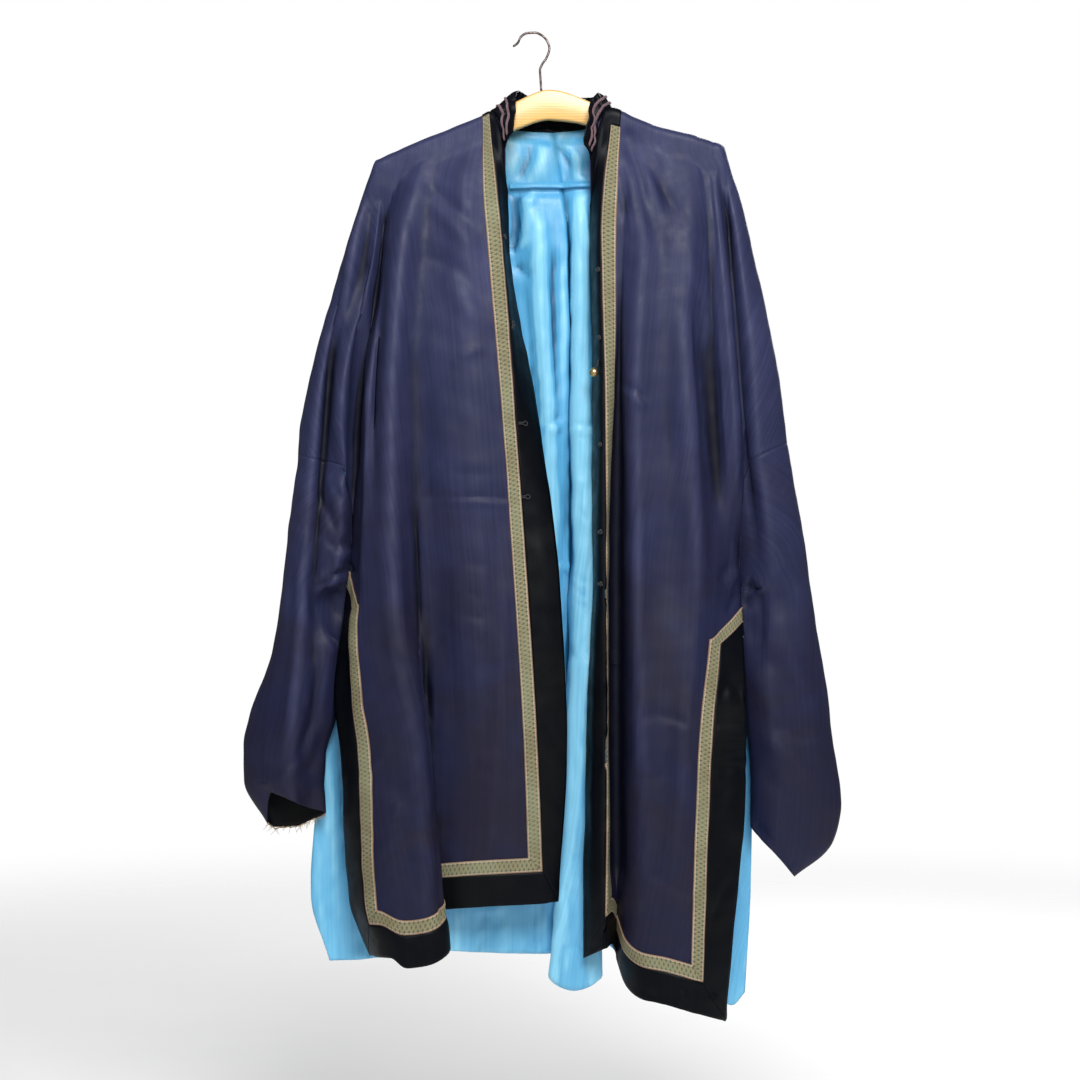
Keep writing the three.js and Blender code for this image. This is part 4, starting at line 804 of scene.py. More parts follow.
def falloff(distance, width, is_sharp):
    """How much of a crease is left at a distance from its line."""
    if is_sharp:
        return np.exp(-distance / width)
    return np.exp(-0.5 * (distance / width) ** 2)


def crease_height(x, z, crease):
    """How far one crease moves the cloth, at places given by their x and z."""
    line = np.array(crease["line"], float)
    along_line = run_along(line)
    nearest = np.full(x.shape, np.inf)
    place = np.zeros(x.shape)
    for i, (start, end) in enumerate(zip(line, line[1:])):
        step = end - start
        length = np.linalg.norm(step)
        share = np.clip(((x - start[0]) * step[0] + (z - start[1]) * step[1]) / length**2, 0, 1)
        distance = np.hypot(x - start[0] - share * step[0], z - start[1] - share * step[1])
        closer = distance < nearest
        nearest = np.where(closer, distance, nearest)
        place = np.where(closer, along_line[i] + share * length, place)
    share = place / along_line[-1]
    fade_in, fade_out = crease["fades"]
    ends = smooth_step(share / fade_in) * smooth_step((1 - share) / fade_out)
    return crease["depth"] * ends * falloff(nearest, crease["width"], crease["is_sharp"])


def creased(points, creases):
    x, z = points[..., 0], points[..., 2]
    return sum((crease_height(x, z, crease) for crease in creases), np.zeros(x.shape))


WAVES = 9  # added up in an uneven field


def uneven(points, wavelength, seed):
    """A smooth uneven field between about -1 and 1, that repeats nowhere on the robe."""
    random = np.random.default_rng(seed)
    total = np.zeros(points.shape[:-1])
    for _ in range(WAVES):
        direction = random.normal(size=3)
        direction /= np.linalg.norm(direction)
        length = wavelength * random.uniform(0.6, 1.6)
        phase = random.uniform(0, 2 * math.pi)
        total += np.sin(points @ direction * (2 * math.pi / length) + phase)
    return total / math.sqrt(WAVES)


# ---------------------------------------------------------------- the welded cloth


class Patch:
    """A grid of fine cells on the cloth, with the two triangles of each cell.

    s and t say where a place lies among the fold lines and the rows that pieces are cut on."""

    def __init__(self, points, s, t, faces_back=False, is_mirrored=None, keep=None):
        self.points = points
        columns, rows = points.shape[:2]
        self.size = (columns, rows)
        c, r = np.meshgrid(np.arange(columns - 1), np.arange(rows - 1), indexing="ij")
        near_top, near_low = (c, r), (c, r + 1)
        far_top, far_low = (c + 1, r), (c + 1, r + 1)
        middle = (s[:-1] + s[1:]) / 2
        mirrored = is_mirrored(middle)[:, None] if is_mirrored else np.zeros((columns - 1, 1), bool)
        halves = []
        for plain, turned in (
            ((near_top, near_low, far_top), (near_top, far_low, far_top)),
            ((near_low, far_low, far_top), (near_top, near_low, far_low)),
        ):
            corners = [
                np.where(mirrored, b[0], a[0]) * rows + np.where(mirrored, b[1], a[1])
                for a, b in zip(plain, turned)
            ]
            halves.append(np.stack(corners, axis=-1).reshape(-1, 3))
        self.triangles = np.concatenate(halves)
        if faces_back:
            self.triangles = self.triangles[:, ::-1]
        grid_s, grid_t = np.meshgrid(s, t, indexing="ij")
        self.s = grid_s.ravel()
        self.t = grid_t.ravel()
        if keep:
            self.triangles = self.triangles[keep(self.middles(self.s), self.middles(self.t))]
        self.used = np.unique(self.triangles)
        across = np.linalg.norm(np.diff(points, axis=0, prepend=points[:1]), axis=-1)
        down = np.linalg.norm(np.diff(points, axis=1, prepend=points[:, :1]), axis=-1)
        across = np.cumsum(across, axis=0)
        self.across = across.ravel()
        self.across_from_last = (across - across[-1]).ravel()
        self.down = np.cumsum(down, axis=1).ravel()

    def middles(self, values):
        """The mean of a grid value over each triangle's corners."""
        return values[self.triangles].mean(axis=1)


class Cloth:
    """All the patches, welded where they meet, so that layers stay parallel across a seam."""

    def __init__(self, patches):
        self.patches = patches
        flat = [patch.points.reshape(-1, 3) for patch in patches.values()]
        stacked = np.concatenate(flat)
        keys = np.round(stacked / 0.01).astype(np.int64)
        _, first, welded = np.unique(keys, axis=0, return_index=True, return_inverse=True)
        self.points = stacked[first]
        welded = welded.ravel()
        start = 0
        for patch, own in zip(patches.values(), flat):
            patch.ids = welded[start:start + len(own)]
            start += len(own)
        self.normals = self.facing()
        self.relief = np.zeros(len(self.points))

    def facing(self):
        """The cloth's outward direction at each point."""
        normals = np.zeros_like(self.points)
        for patch in self.patches.values():
            corners = patch.ids[patch.triangles]
            a, b, c = (self.points[corners[:, i]] for i in range(3))
            normal = np.cross(b - a, c - a)
            for i in range(3):
                np.add.at(normals, corners[:, i], normal)
        return normals / (np.linalg.norm(normals, axis=1, keepdims=True) + 1e-12)

    def copy(self):
        """Another cloth that lies on this one, with the same patches."""
        other = copy.copy(self)
        other.points = self.points.copy()
        return other

    def press(self, heights):
        """Moves every point along its normal by the mean of what its patches ask for."""
        total = np.zeros(len(self.points))
        count = np.zeros(len(self.points))
        for name, patch in self.patches.items():
            used = patch.ids[patch.used]
            np.add.at(total, used, heights[name][patch.used])
            np.add.at(count, used, 1)
        self.points = self.points + self.normals * (total / np.maximum(count, 1))[:, None]
        self.normals = self.facing()

    def find_relief(self, reach, is_seen_from_inside=False):
        """How far each point stands out from the cloth around it, within a reach to each side."""
        for patch in self.patches.values():
            columns, rows = patch.size
            y = self.points[patch.ids, 1].reshape(columns, rows)
            across = patch.across.reshape(columns, rows)
            around = np.empty_like(y)
            for row in range(rows):
                place = across[:, row]
                strips = np.diff(place) * (y[1:, row] + y[:-1, row]) / 2
                area = np.concatenate([[0], np.cumsum(strips)])
                low = np.clip(place - reach, place[0], place[-1])
                high = np.clip(place + reach, place[0], place[-1])
                spread = np.interp(high, place, area) - np.interp(low, place, area)
                around[:, row] = spread / (high - low)
            facing = np.sign(self.normals[patch.ids, 1]).reshape(columns, rows)
            relief = ((y - around) * facing).ravel()
            self.relief[patch.ids[patch.used]] = relief[patch.used]
        if is_seen_from_inside:
            self.relief = -self.relief


# ---------------------------------------------------------------- shells


def make_piece(name, points, faces, uv, finishes, finish_of_face, flat_faces, relief=None):
    """A mesh object in metres, from points, uv and relief in millimetres. uv goes corner by
    corner, and relief point by point."""
    mesh = bpy.data.meshes.new(name)
    mesh.from_pydata((points * MM).tolist(), [], faces)
    mesh.polygons.foreach_set("use_smooth", ~flat_faces)
    mesh.uv_layers.new(name="cloth").data.foreach_set("uv", (uv * MM).ravel())
    if relief is not None:
        mesh.attributes.new("relief", "FLOAT", "POINT").data.foreach_set("value", relief)
    for finish in finishes:
        mesh.materials.append(finish)
    mesh.polygons.foreach_set("material_index", finish_of_face)
    mesh.update()
    piece = bpy.data.objects.new(name, mesh)
    bpy.context.scene.collection.objects.link(piece)
    return piece


def shell(name, cloth, parts, layer, finish, inner_finish=None):
    """A closed shell on some triangles of the cloth, between two distances out from it.

    parts are (patch, which of its triangles, the u and v of their corners)."""
    triangles = np.concatenate([patch.ids[patch.triangles[which]] for patch, which, _ in parts])
    uv = np.concatenate([corners for _, _, corners in parts])
    used, corners = np.unique(triangles, return_inverse=True)
    corners = corners.reshape(-1, 3)
    count = len(used)
    points = np.concatenate([cloth.points[used] + cloth.normals[used] * out for out in layer])
    edges = np.concatenate([corners[:, [i, (i + 1) % 3]] for i in range(3)])
    edge_uv = np.concatenate([uv[:, [i, (i + 1) % 3]] for i in range(3)])
    code = edges[:, 0] * count + edges[:, 1]
    is_rim = ~np.isin(code, edges[:, 1] * count + edges[:, 0])
    start, end = edges[is_rim].T
    rim = np.stack([start, end, end + count, start + count], axis=1)
    rim_uv = edge_uv[is_rim][:, [0, 1, 1, 0]]
    faces = [*(corners + count).tolist(), *corners[:, ::-1].tolist(), *rim.tolist()]
    flat = np.concatenate([uv.reshape(-1, 2), uv[:, ::-1].reshape(-1, 2), rim_uv.reshape(-1, 2)])
    is_flat = np.repeat([False, True], [2 * len(corners), len(rim)])
    finishes = [finish, inner_finish] if inner_finish else [finish]
    inner = 1 if inner_finish else 0
    finish_of_face = np.repeat([0, inner, 0], [len(corners), len(corners), len(rim)])
    relief = np.tile(cloth.relief[used], 2)
    return make_piece(name, points, faces, flat, finishes, finish_of_face, is_flat, relief)


def grain(patch, which, is_from_last=False):
    """The u and v of a piece cut from the silk: across from its first or last edge, and down."""
    corners = patch.triangles[which]
    across = patch.across_from_last if is_from_last else patch.across
    return np.stack([across[corners], -patch.down[corners]], axis=-1)


# ---------------------------------------------------------------- trims

SIDE_FRONT, OUTER_EDGE, SIDE_BACK, CENTRE_BACK = 12, 16, 20, 33  # lines of a strip
OPENING, HEM, SLIT, SLIT_TOP = range(4)


class Trims:
    """Where the borders and ribbons of one strip lie: for every triangle, the edge that it
    trims and how many cells away from that edge it is."""

    def __init__(self, strip, ribbon_start):
        self.strip = strip
        s, t = strip.middles(strip.s), strip.middles(strip.t)
        self.is_front = s < OUTER_EDGE
        distances = self.distances(s, t, self.is_front)
        self.edge = distances.argmin(axis=0)
        self.distance = distances.min(axis=0)
        in_top = (t > SLIT_TRIM_ROW) & (t < SLIT_TOP_ROW) & (distances[SLIT] < TRIM_CELLS)
        turns = t - SLIT_TRIM_ROW < TRIM_CELLS - distances[SLIT]
        self.edge = np.where(in_top, np.where(turns, SLIT_TOP, SLIT), self.edge)
        self.is_border = (self.distance < BORDER_CELLS) & ~in_top
        self.is_ribbon = (self.distance < TRIM_CELLS) & ~self.is_border
        above = self.is_ribbon & (self.edge == OPENING) & (t < ribbon_start)
        self.is_border |= above
        self.is_ribbon &= ~above

    def distances(self, s, t, is_front):
        """How many cells each place is from the opening, the hem, the slit and the slit's top."""
        far = np.full(s.shape, np.inf)
        opening = np.where(is_front, s, far)
        slit = np.where(is_front, SIDE_FRONT - s, s - SIDE_BACK)
        slit = np.where(t > SLIT_TRIM_ROW, slit, far)
        return np.array([opening, HEM_ROW - t, slit, far])

    def which(self, kind, edges, is_front):
        """The triangles of one cut piece of border or ribbon."""
        chosen = self.is_border if kind == "border" else self.is_ribbon
        return chosen & np.isin(self.edge, edges) & (self.is_front == is_front)

    def length_and_width(self, which):
        """The u and v of a trim: along it, and across it from the edge."""
        strip = self.strip
        corners = strip.triangles[which]
        edge = self.edge[which][:, None]
        s, t = strip.s[corners], strip.t[corners]
        slit = np.where(self.is_front[which][:, None], SIDE_FRONT - s, s - SIDE_BACK)
        cells = np.choose(edge, [s, HEM_ROW - t, slit, BORDER_CELLS + SLIT_TOP_ROW - t])
        width = np.where(
            cells < BORDER_CELLS,
            cells * BORDER_WIDTH / BORDER_CELLS,
            BORDER_WIDTH + (cells - BORDER_CELLS) * RIBBON_WIDTH)
        runs_down = (edge == OPENING) | (edge == SLIT)
        length = np.where(runs_down, strip.down[corners], strip.across[corners])
        return np.stack([length, width], axis=-1)


# ---------------------------------------------------------------- cords, wire and wood


OFF_AXIS = (0.31, 0.54, 0.78)  # a direction that no cord starts along
SMALLEST_END = 0.08  # of the radius, that a rounded end keeps


def unit_rows(vectors):
    return vectors / np.linalg.norm(vectors, axis=1, keepdims=True)


def circle(sides):
    """The cosines and sines of a circle's corners."""
    turn = np.arange(sides) / sides * 2 * math.pi
    return np.cos(turn), np.sin(turn)


def frames_along(path):
    """A pair of directions across a path at each of its points, turning as little as they can."""
    along = unit_rows(np.gradient(path, axis=0))
    side = np.cross(along[0], OFF_AXIS)
    sides = []
    for direction in along:
        side = side - direction * (side @ direction)
        side /= np.linalg.norm(side)
        sides.append(side)
    sides = np.array(sides)
    return sides, np.cross(along, sides)


def ring_faces(rings, sides):
    """The faces between rings of points, each ring joined to the next."""
    faces = []
    for i in range(rings - 1):
        for k in range(sides):
            near, far = i * sides + k, i * sides + (k + 1) % sides
            faces.append([near, far, far + sides, near + sides])
    return faces


def end_faces(rings, sides):
    """The flat faces that close the first and the last of some rings."""
    last = (rings - 1) * sides
    return [list(range(sides))[::-1], [last + k for k in range(sides)]]


def bare_uv(faces):
    return [(0.0, 0.0) for face in faces for _ in face]


def tube(path, radii, sides):
    """Points, faces and u, v of a tube along a path, closed at its ends."""
    path = np.asarray(path, float)
    radii = np.broadcast_to(np.asarray(radii, float), len(path))
    first, second = (frame[:, None] for frame in frames_along(path))
    cosines, sines = (corner[None, :, None] for corner in circle(sides))
    ring = first * cosines + second * sines
    points = (path[:, None] + ring * radii[:, None, None]).reshape(-1, 3)
    run = run_along(path)
    uv = []
    for i in range(len(path) - 1):
        girth = 2 * math.pi * radii[i] / sides
        for k in range(sides):
            uv += [(run[i], k * girth), (run[i], (k + 1) * girth),
                   (run[i + 1], (k + 1) * girth), (run[i + 1], k * girth)]
    ends = end_faces(len(path), sides)
    return points, ring_faces(len(path), sides) + ends, uv + bare_uv(ends)


def joined(parts):
    """Several (points, faces, uv) as one."""
    points, faces, uv, start = [], [], [], 0
    for own_points, own_faces, own_uv in parts:
        points.append(own_points)
        faces += [[start + i for i in face] for face in own_faces]
        uv += own_uv
        start += len(own_points)
    return np.concatenate(points), faces, uv


def solid_piece(name, parts, finish):
    points, faces, uv = joined(parts)
    flat_faces = np.array([len(face) > 4 for face in faces])
    zeros = np.zeros(len(faces), int)
    return make_piece(name, points, faces, np.array(uv, float), [finish], zeros, flat_faces)


def rounded_ends(path, radius):
    """Radii along a path that round off both its ends."""
    run = run_along(path)
    near = np.minimum(run, run[-1] - run)
    inside = np.clip(near / radius, SMALLEST_END, 1)
    return radius * np.sqrt(1 - (1 - inside) ** 2)


def laid_cord(path, normals, width, height, sides):
    """A flat cord that lies along a path on the cloth, its cross-section turned to the normals."""
    along = unit_rows(np.gradient(path, axis=0))
    across = unit_rows(np.cross(along, normals))
    up = np.cross(across, along)
    cosines, sines = circle(sides)
    ends = rounded_ends(path, height)[:, None, None] / height
    ring = (
        across[:, None] * (cosines * width / 2)[None, :, None]
        + up[:, None] * (sines * height / 2)[None, :, None])
    points = (path[:, None] + ring * ends).reshape(-1, 3)
    _, faces, uv = tube(path, width / 2, sides)
    return points, faces, uv


# ---------------------------------------------------------------- pressing the creases


# How far a cloth is uneven, and over what distance.
COARSE_SLACK, FINE_SLACK = (0.7, 110), (0.32, 38)
LINING_COARSE_SLACK, LINING_FINE_SLACK = (0.5, 60), (0.4, 22)

# The creases fade out over these, counted in fold lines across and in rows down.
EDGE_FADE = 0.6  # to the outer edge
SLEEVE_EDGE_FADE = 0.5
SHOULDER_FADE = 1.6
BELOW_SHOULDER = 0.6  # the row where they begin

LINING_STAND_OFF = {"above_slits": 5, "below_slits": 2.5}
LINING_FADE = 1.5  # over which the stand-off grows to its whole
NECK_ROW, NECK_FADE = 1.2, 0.8  # where the lining comes loose, and over how many rows
SEAM_SHARE = 0.7  # of the stand-off, that is lost at the centre back seam of the skirt


def slack(points, seed, coarse=COARSE_SLACK, fine=FINE_SLACK):
    """The cloth's own soft unevenness, between the creases."""
    return coarse[0] * uneven(points, coarse[1], seed) + fine[0] * uneven(points, fine[1], seed + 1)


def silk_heights(patch, front, back, front_creases, back_creases, seed):
    """How far the silk's points move, where front and back are each crease's shares of them."""
    points = patch.points.reshape(-1, 3)
    heights = front * creased(points, front_creases) + back * creased(points, back_creases)
    return heights + slack(points, seed)


def strip_heights(patch, *creases_and_seed):
    """A strip's front takes the front's creases, and its back the back's, below the shoulder."""
    front = smooth_step((OUTER_EDGE - patch.s) / EDGE_FADE)
    back = smooth_step((patch.s - OUTER_EDGE) / EDGE_FADE)
    below_shoulder = smooth_step((patch.t - BELOW_SHOULDER) / SHOULDER_FADE)
    return silk_heights(patch, front, back, *creases_and_seed) * below_shoulder


def sleeve_heights(patch, *creases_and_seed):
    """A lower sleeve takes them too, fading out towards its inner and outer edge."""
    half = SIDE_BACK - OUTER_EDGE
    front = smooth_step(np.minimum(patch.s, half - patch.s) / SLEEVE_EDGE_FADE)
    back = smooth_step(np.minimum(patch.s - half, 2 * half - patch.s) / SLEEVE_EDGE_FADE)
    return silk_heights(patch, front, back, *creases_and_seed)


def lining_heights(patch):
    """The lining stands forward of the silk, and its creases are measured from there."""
    points = patch.points.reshape(-1, 3)
    from_centre = CENTRE_BACK - patch.s
    below_neck = smooth_step((patch.t - NECK_ROW) / NECK_FADE)
    loose = smooth_step((LINED_CELLS - from_centre) / LINING_FADE) * below_neck
    below = smooth_step((patch.t - SLIT_TOP_ROW) / LINING_FADE)
    at_seam = 1 - smooth_step(from_centre / LINING_FADE)
    in_skirt = smooth_step((patch.t - SLIT_TOP_ROW - LINING_FADE) / LINING_FADE)
    forward = (
        LINING_STAND_OFF["above_slits"] * loose + LINING_STAND_OFF["below_slits"] * below
    ) * (1 - SEAM_SHARE * at_seam * in_skirt)
    forward += creased(points, LINING_CREASES) * np.maximum(loose, below)
    forward += slack(points, 41, LINING_COARSE_SLACK, LINING_FINE_SLACK)
    from_hem = smooth_step((HEM_ROW - patch.t) / 0.5 + 0.4)
    return -np.maximum(forward, 0) * from_hem * smooth_step(patch.t)


def on_cloth(cloth, patch, s, t, rise):
    """Points that stand off the cloth at places in fold lines and rows, and their normals."""
    columns, rows = patch.size
    c = np.clip(np.asarray(s) * FINE, 0, columns - 1.001)
    r = np.clip(np.interp(t, FINE_ROWS, np.arange(rows)), 0, rows - 1.001)
    near, top = c.astype(int), r.astype(int)
    across, down = (c - near)[:, None], (r - top)[:, None]

    def between(values):
        grid = values[patch.ids].reshape(columns, rows, 3)
        upper = grid[near, top] * (1 - across) + grid[near + 1, top] * across
        lower = grid[near, top + 1] * (1 - across) + grid[near + 1, top + 1] * across
        return upper * (1 - down) + lower * down

    normals = between(cloth.normals)
    normals /= np.linalg.norm(normals, axis=1, keepdims=True)
    return between(cloth.points) + normals * rise, normals


# ---------------------------------------------------------------- collar and rolled lining


def grid_of(cloth, patch):
    return cloth.points[patch.ids].reshape(*patch.size, 3)


def sheet_patch(grid, faces_back=False):
    """A patch of its own, whose columns and rows are counted in cells."""
    columns, rows = grid.shape[:2]
    return Patch(grid, np.arange(columns), np.arange(rows), faces_back=faces_back)


def refined(points, cells):
    """The same line with more points on it."""
    places = np.arange(len(points))
    fine = np.linspace(0, len(points) - 1, (len(points) - 1) * cells + 1)
    return np.stack([np.interp(fine, places, points[:, axis]) for axis in range(3)], axis=-1)


GATHERS_TURN = 15  # radians of the gathers' wave, from one place along the top to the next
GATHERS_HEIGHT = 1.1
COLLAR_BULGE = 2.4


def make_collar(left, right):
    """The collar stands on the neck edges, from the left front round the back to the right,
    and is gathered on to them."""
    edge, back = BORDER_CELLS * FINE, CENTRE_BACK * FINE
    share = np.arange(1, FINE)[:, None] / FINE
    left_step = left[edge, 0] + share * (left[back - edge, 0] - left[edge, 0])
    right_step = right[back - edge, 0] + share * (right[edge, 0] - right[back - edge, 0])
    neck = np.concatenate([
        left[:edge + 1, 0], left_step, left[back - edge:back + 1, 0],
        right[back - edge:back, 0][::-1], right_step, right[:edge + 1, 0][::-1],
    ])
    tops = smooth_run(np.array(list(COLLAR_TOPS.values()), float), FINE)
    neck, tops = refined(neck, COLLAR_FINE), refined(tops, COLLAR_FINE)
    rise = np.linspace(0, 1, COLLAR_CELLS + 1)
    points = neck[:, None] + (tops - neck)[:, None] * rise[None, :, None]
    places = np.linspace(0, len(COLLAR_TOPS) - 1, len(points))
    patch = Patch(points, places, rise)
    collar = Cloth({"collar": patch})
    flat = patch.points.reshape(-1, 3)
    gathers = np.sin(patch.s * GATHERS_TURN + 2.2 * uneven(flat, 70, 51) + 1.5 * patch.t)
    strength = GATHERS_HEIGHT * (1 - 0.5 * patch.t) * smooth_step(patch.t / 0.15)
    bulge = COLLAR_BULGE * np.sin(math.pi * patch.t)
    folds = creased(flat, COLLAR_CREASES) + 1.2 * uneven(flat, 26, 52) * patch.t
    collar.press({"collar": gathers * strength + bulge + folds})
    collar.find_relief(6)
    return collar


def rolled_edge(cloth, patch):
    """The left front's lining, rolled out past its edge at the chest."""
    grid = grid_of(cloth, patch)
    first, last = (int(np.flatnonzero(FINE_ROWS == row)[0]) for row in LINING_ROLL["rows"])
    inner = grid[:FINE + 1, first:last + 1]
    away = inner[0] - inner[FINE]
    away /= np.linalg.norm(away, axis=1, keepdims=True)
    steps = np.array([1, 0.8, 0.5, 0.25])[:, None, None]
    past = inner[0] + away * steps * LINING_ROLL["past"]
    past[..., 1] -= np.array([0.2, 0.9, 1.0, 0.6])[:, None]
    return sheet_patch(np.concatenate([past, inner]), faces_back=True)


def tree_of(piece):
    return mathutils.bvhtree.BVHTree.FromPolygons(
        [vertex.co for vertex in piece.data.vertices],
        [polygon.vertices[:] for polygon in piece.data.polygons])


def front_of(trees, x, z):
    """The front of some pieces at a given x and z, and the way that it faces."""
    start = mathutils.Vector((x * MM, -0.4, z * MM))
    hits = []
    for tree in trees:
        place, normal, _, _ = tree.ray_cast(start, (0, 1, 0))
        if place:
            hits.append((place.y, np.array(place) / MM, np.array(normal)))
    _, place, normal = min(hits, key=lambda hit: hit[0])
    return place, normal


# The fold across the lining: its ends, and the y and z of its outline from the seam above.
TUCK_ENDS = (-27.5, 79.5)
TUCK_OUTLINE = (
    (1.2, 7), (-1.4, 5.2), (-3.2, 3.2), (-4.4, 0.8),
    (-4.6, -1.0), (-3.6, -2.0), (-1.6, -1.2), (1.4, -0.4),
)


def tuck(pieces):
    """The fold that is sewn across the lining below the neck."""
    trees = [tree_of(piece) for piece in pieces]
    columns = []
    for x in np.linspace(*TUCK_ENDS, 54):
        z = -192.5 + 0.018 * x
        place, _ = front_of(trees, x, z - 2)
        wave = 0.2 * math.sin(x / 9) + 0.125 * math.sin(x / 3.7)
        columns.append([(x, place[1] + y + wave, z + rise + wave) for y, rise in TUCK_OUTLINE])
    return sheet_patch(smooth_run(np.array(columns).swapaxes(0, 1), 2).swapaxes(0, 1))


# ---------------------------------------------------------------- shader nodes


def colour(red, green, blue):
    """A colour given in everyday 0 to 255 values, as the linear one that a shader takes."""
    def linear(value):
        value /= 255
        return value / 12.92 if value <= 0.04045 else ((value + 0.055) / 1.055) ** 2.4
    return (linear(red), linear(green), linear(blue), 1)


class Nodes:
    """A node tree with short calls: an input is a value, or the output that feeds it."""

    def __init__(self, tree):
        self.tree = tree

    def add(self, kind, inputs=None, **settings):
        node = self.tree.nodes.new(kind)
        for name, value in settings.items():
            setattr(node, name, value)
        for key, value in (inputs or {}).items():
            if isinstance(value, bpy.types.NodeSocket):
                self.tree.links.new(value, node.inputs[key])
            else:
                node.inputs[key].default_value = value
        return node

    def math(self, operation, *values, clamp=False):
        inputs = dict(enumerate(values))
        return self.add("ShaderNodeMath", inputs, operation=operation, use_clamp=clamp).outputs[0]

    def scaled(self, vector, scale):
        return self.add(
            "ShaderNodeVectorMath", {0: vector, 1: scale}, operation="MULTIPLY").outputs[0]

    def noise(self, vector, scale, detail=3.0, roughness=0.5, distortion=0.0):
        node = self.add("ShaderNodeTexNoise", {
            "Vector": vector, "Scale": scale, "Detail": detail,
            "Roughness": roughness, "Distortion": distortion})
        return node.outputs["Fac"]

    def spread(self, value, low, high, to_low=0.0, to_high=1.0):
        """value taken smoothly from low..high to to_low..to_high."""
        node = self.add("ShaderNodeMapRange", {
            "Value": value, "From Min": low, "From Max": high,
            "To Min": to_low, "To Max": to_high}, interpolation_type="SMOOTHSTEP")
        return node.outputs["Result"]

    def mix(self, share, first, second):
        node = self.add("ShaderNodeMix", {0: share, 6: first, 7: second}, data_type="RGBA")
        return node.outputs[2]

    def laid_over(self, tint, share, strength, over):
        """A colour laid over a tint, as strongly as given where the share is 1."""
        return self.mix(self.math("MULTIPLY", share, strength), tint, over)

    def axes(self, vector):
        return self.add("ShaderNodeSeparateXYZ", {0: vector}).outputs

    def group(self, group, **inputs):
        """The outputs of a group node, with its inputs given by name."""
        named = {name.title(): value for name, value in inputs.items()}
        return self.add("ShaderNodeGroup", named, node_tree=group).outputs

    def clouds(self, place, scale, low=0.42, high=0.66):
        return self.group(CLOUDS, vector=place, scale=scale, low=low, high=high)["Mask"]


def new_group(name, inputs, outputs):
    """An empty shader group with named sockets, its nodes, its inputs and a call that ends it."""
    group = bpy.data.node_groups.new(name, "ShaderNodeTree")
    for label, kind in inputs.items():
        group.interface.new_socket(label, in_out="INPUT", socket_type=f"NodeSocket{kind}")
    for label in outputs:
        group.interface.new_socket(label, in_out="OUTPUT", socket_type="NodeSocketFloat")
    nodes = Nodes(group)
    given = group.nodes.new("NodeGroupInput").outputs
    result = group.nodes.new("NodeGroupOutput")

    def finish(**values):
        for label, value in values.items():
            group.links.new(value, result.inputs[label.title()])
        return group

    return nodes, given, finish


def thread_group():
    """Crossing threads of a satin: long warp floats, tied down by the weft in a stepped row."""
    nodes, given, finish = new_group(
        "crossing_threads", {"Vector": "Vector", "Threads": "Float", "Step": "Float"},
        ("Height", "Tone"))
    place = nodes.axes(given["Vector"])
    turn = nodes.math("MULTIPLY", given["Threads"], 2 * math.pi)
    warp = nodes.math("SINE", nodes.math("MULTIPLY", place["X"], turn))
    stepped = nodes.math("MULTIPLY_ADD", place["X"], given["Step"], place["Y"])
    weft = nodes.math("SINE", nodes.math("MULTIPLY", stepped, turn))
    height = nodes.math("MULTIPLY_ADD", weft, 0.35, warp)
    thick = nodes.noise(nodes.scaled(given["Vector"], (900.0, 14.0, 0.0)), 1.0, 2.0)
    return finish(height=nodes.math("ADD", height, thick), tone=thick)


def cloud_group():
    """Soft uneven patches, for fading, handling and dust."""
    nodes, given, finish = new_group(
        "soft_clouds",
        {"Vector": "Vector", "Scale": "Float", "Low": "Float", "High": "Float"}, ("Mask",))
    noise = nodes.noise(given["Vector"], given["Scale"], 5.0, 0.55, 0.6)
    return finish(mask=nodes.spread(noise, given["Low"], given["High"]))


def streak_group():
    """Fine uneven streaks along the warp, where the silk's thread is thicker or darker."""
    nodes, given, finish = new_group("warp_streaks", {"Vector": "Vector"}, ("Mask",))
    noise = nodes.noise(nodes.scaled(given["Vector"], (260.0, 5.0, 0.0)), 1.0, 3.0, 0.6)
    return finish(mask=nodes.spread(noise, 0.3, 0.7))


THREADS = thread_group()
CLOUDS = cloud_group()
STREAKS = streak_group()


def socket_name(key):
    return key.replace("_", " ").title().replace("Ior", "IOR")


def new_material(name, roughness, **constants):
    """A material with its Principled shader, whose plain values are set on the shader itself."""
    material = bpy.data.materials.new(name)
    material.use_nodes = True
    material.node_tree.nodes.clear()
    nodes = Nodes(material.node_tree)
    shader = nodes.add("ShaderNodeBsdfPrincipled", {
        "Roughness": roughness,
        **{socket_name(key): value for key, value in constants.items()}})
    nodes.add("ShaderNodeOutputMaterial", {"Surface": shader.outputs["BSDF"]})
    return material, nodes, shader


def feed(nodes, shader, **sources):
    for name, source in sources.items():
        nodes.tree.links.new(source, shader.inputs[socket_name(name)])


def bump(nodes, height, depth, **under):
    """A bump of a real depth in millimetres for heights from 0 to 1, over a normal if given."""
    inputs = {"Height": height, "Distance": depth * MM, "Strength": 1.0}
    return nodes.add("ShaderNodeBump", {**inputs, **under}).outputs["Normal"]


def cloth_place(nodes):
    return nodes.add("ShaderNodeUVMap", uv_map="cloth").outputs["UV"]


def object_place(nodes):
    return nodes.add("ShaderNodeTexCoord").outputs["Object"]


# ---------------------------------------------------------------- finishes


def grows(nodes, value, start, end):
    """A share that grows smoothly, from nothing where a value is start to all where it is end."""
    low, high = sorted((start, end))
    return nodes.spread(value, low, high, *((0, 1) if start < end else (1, 0)))


def cloth_relief(nodes):
    return nodes.add("ShaderNodeAttribute", attribute_name="relief").outputs["Fac"]


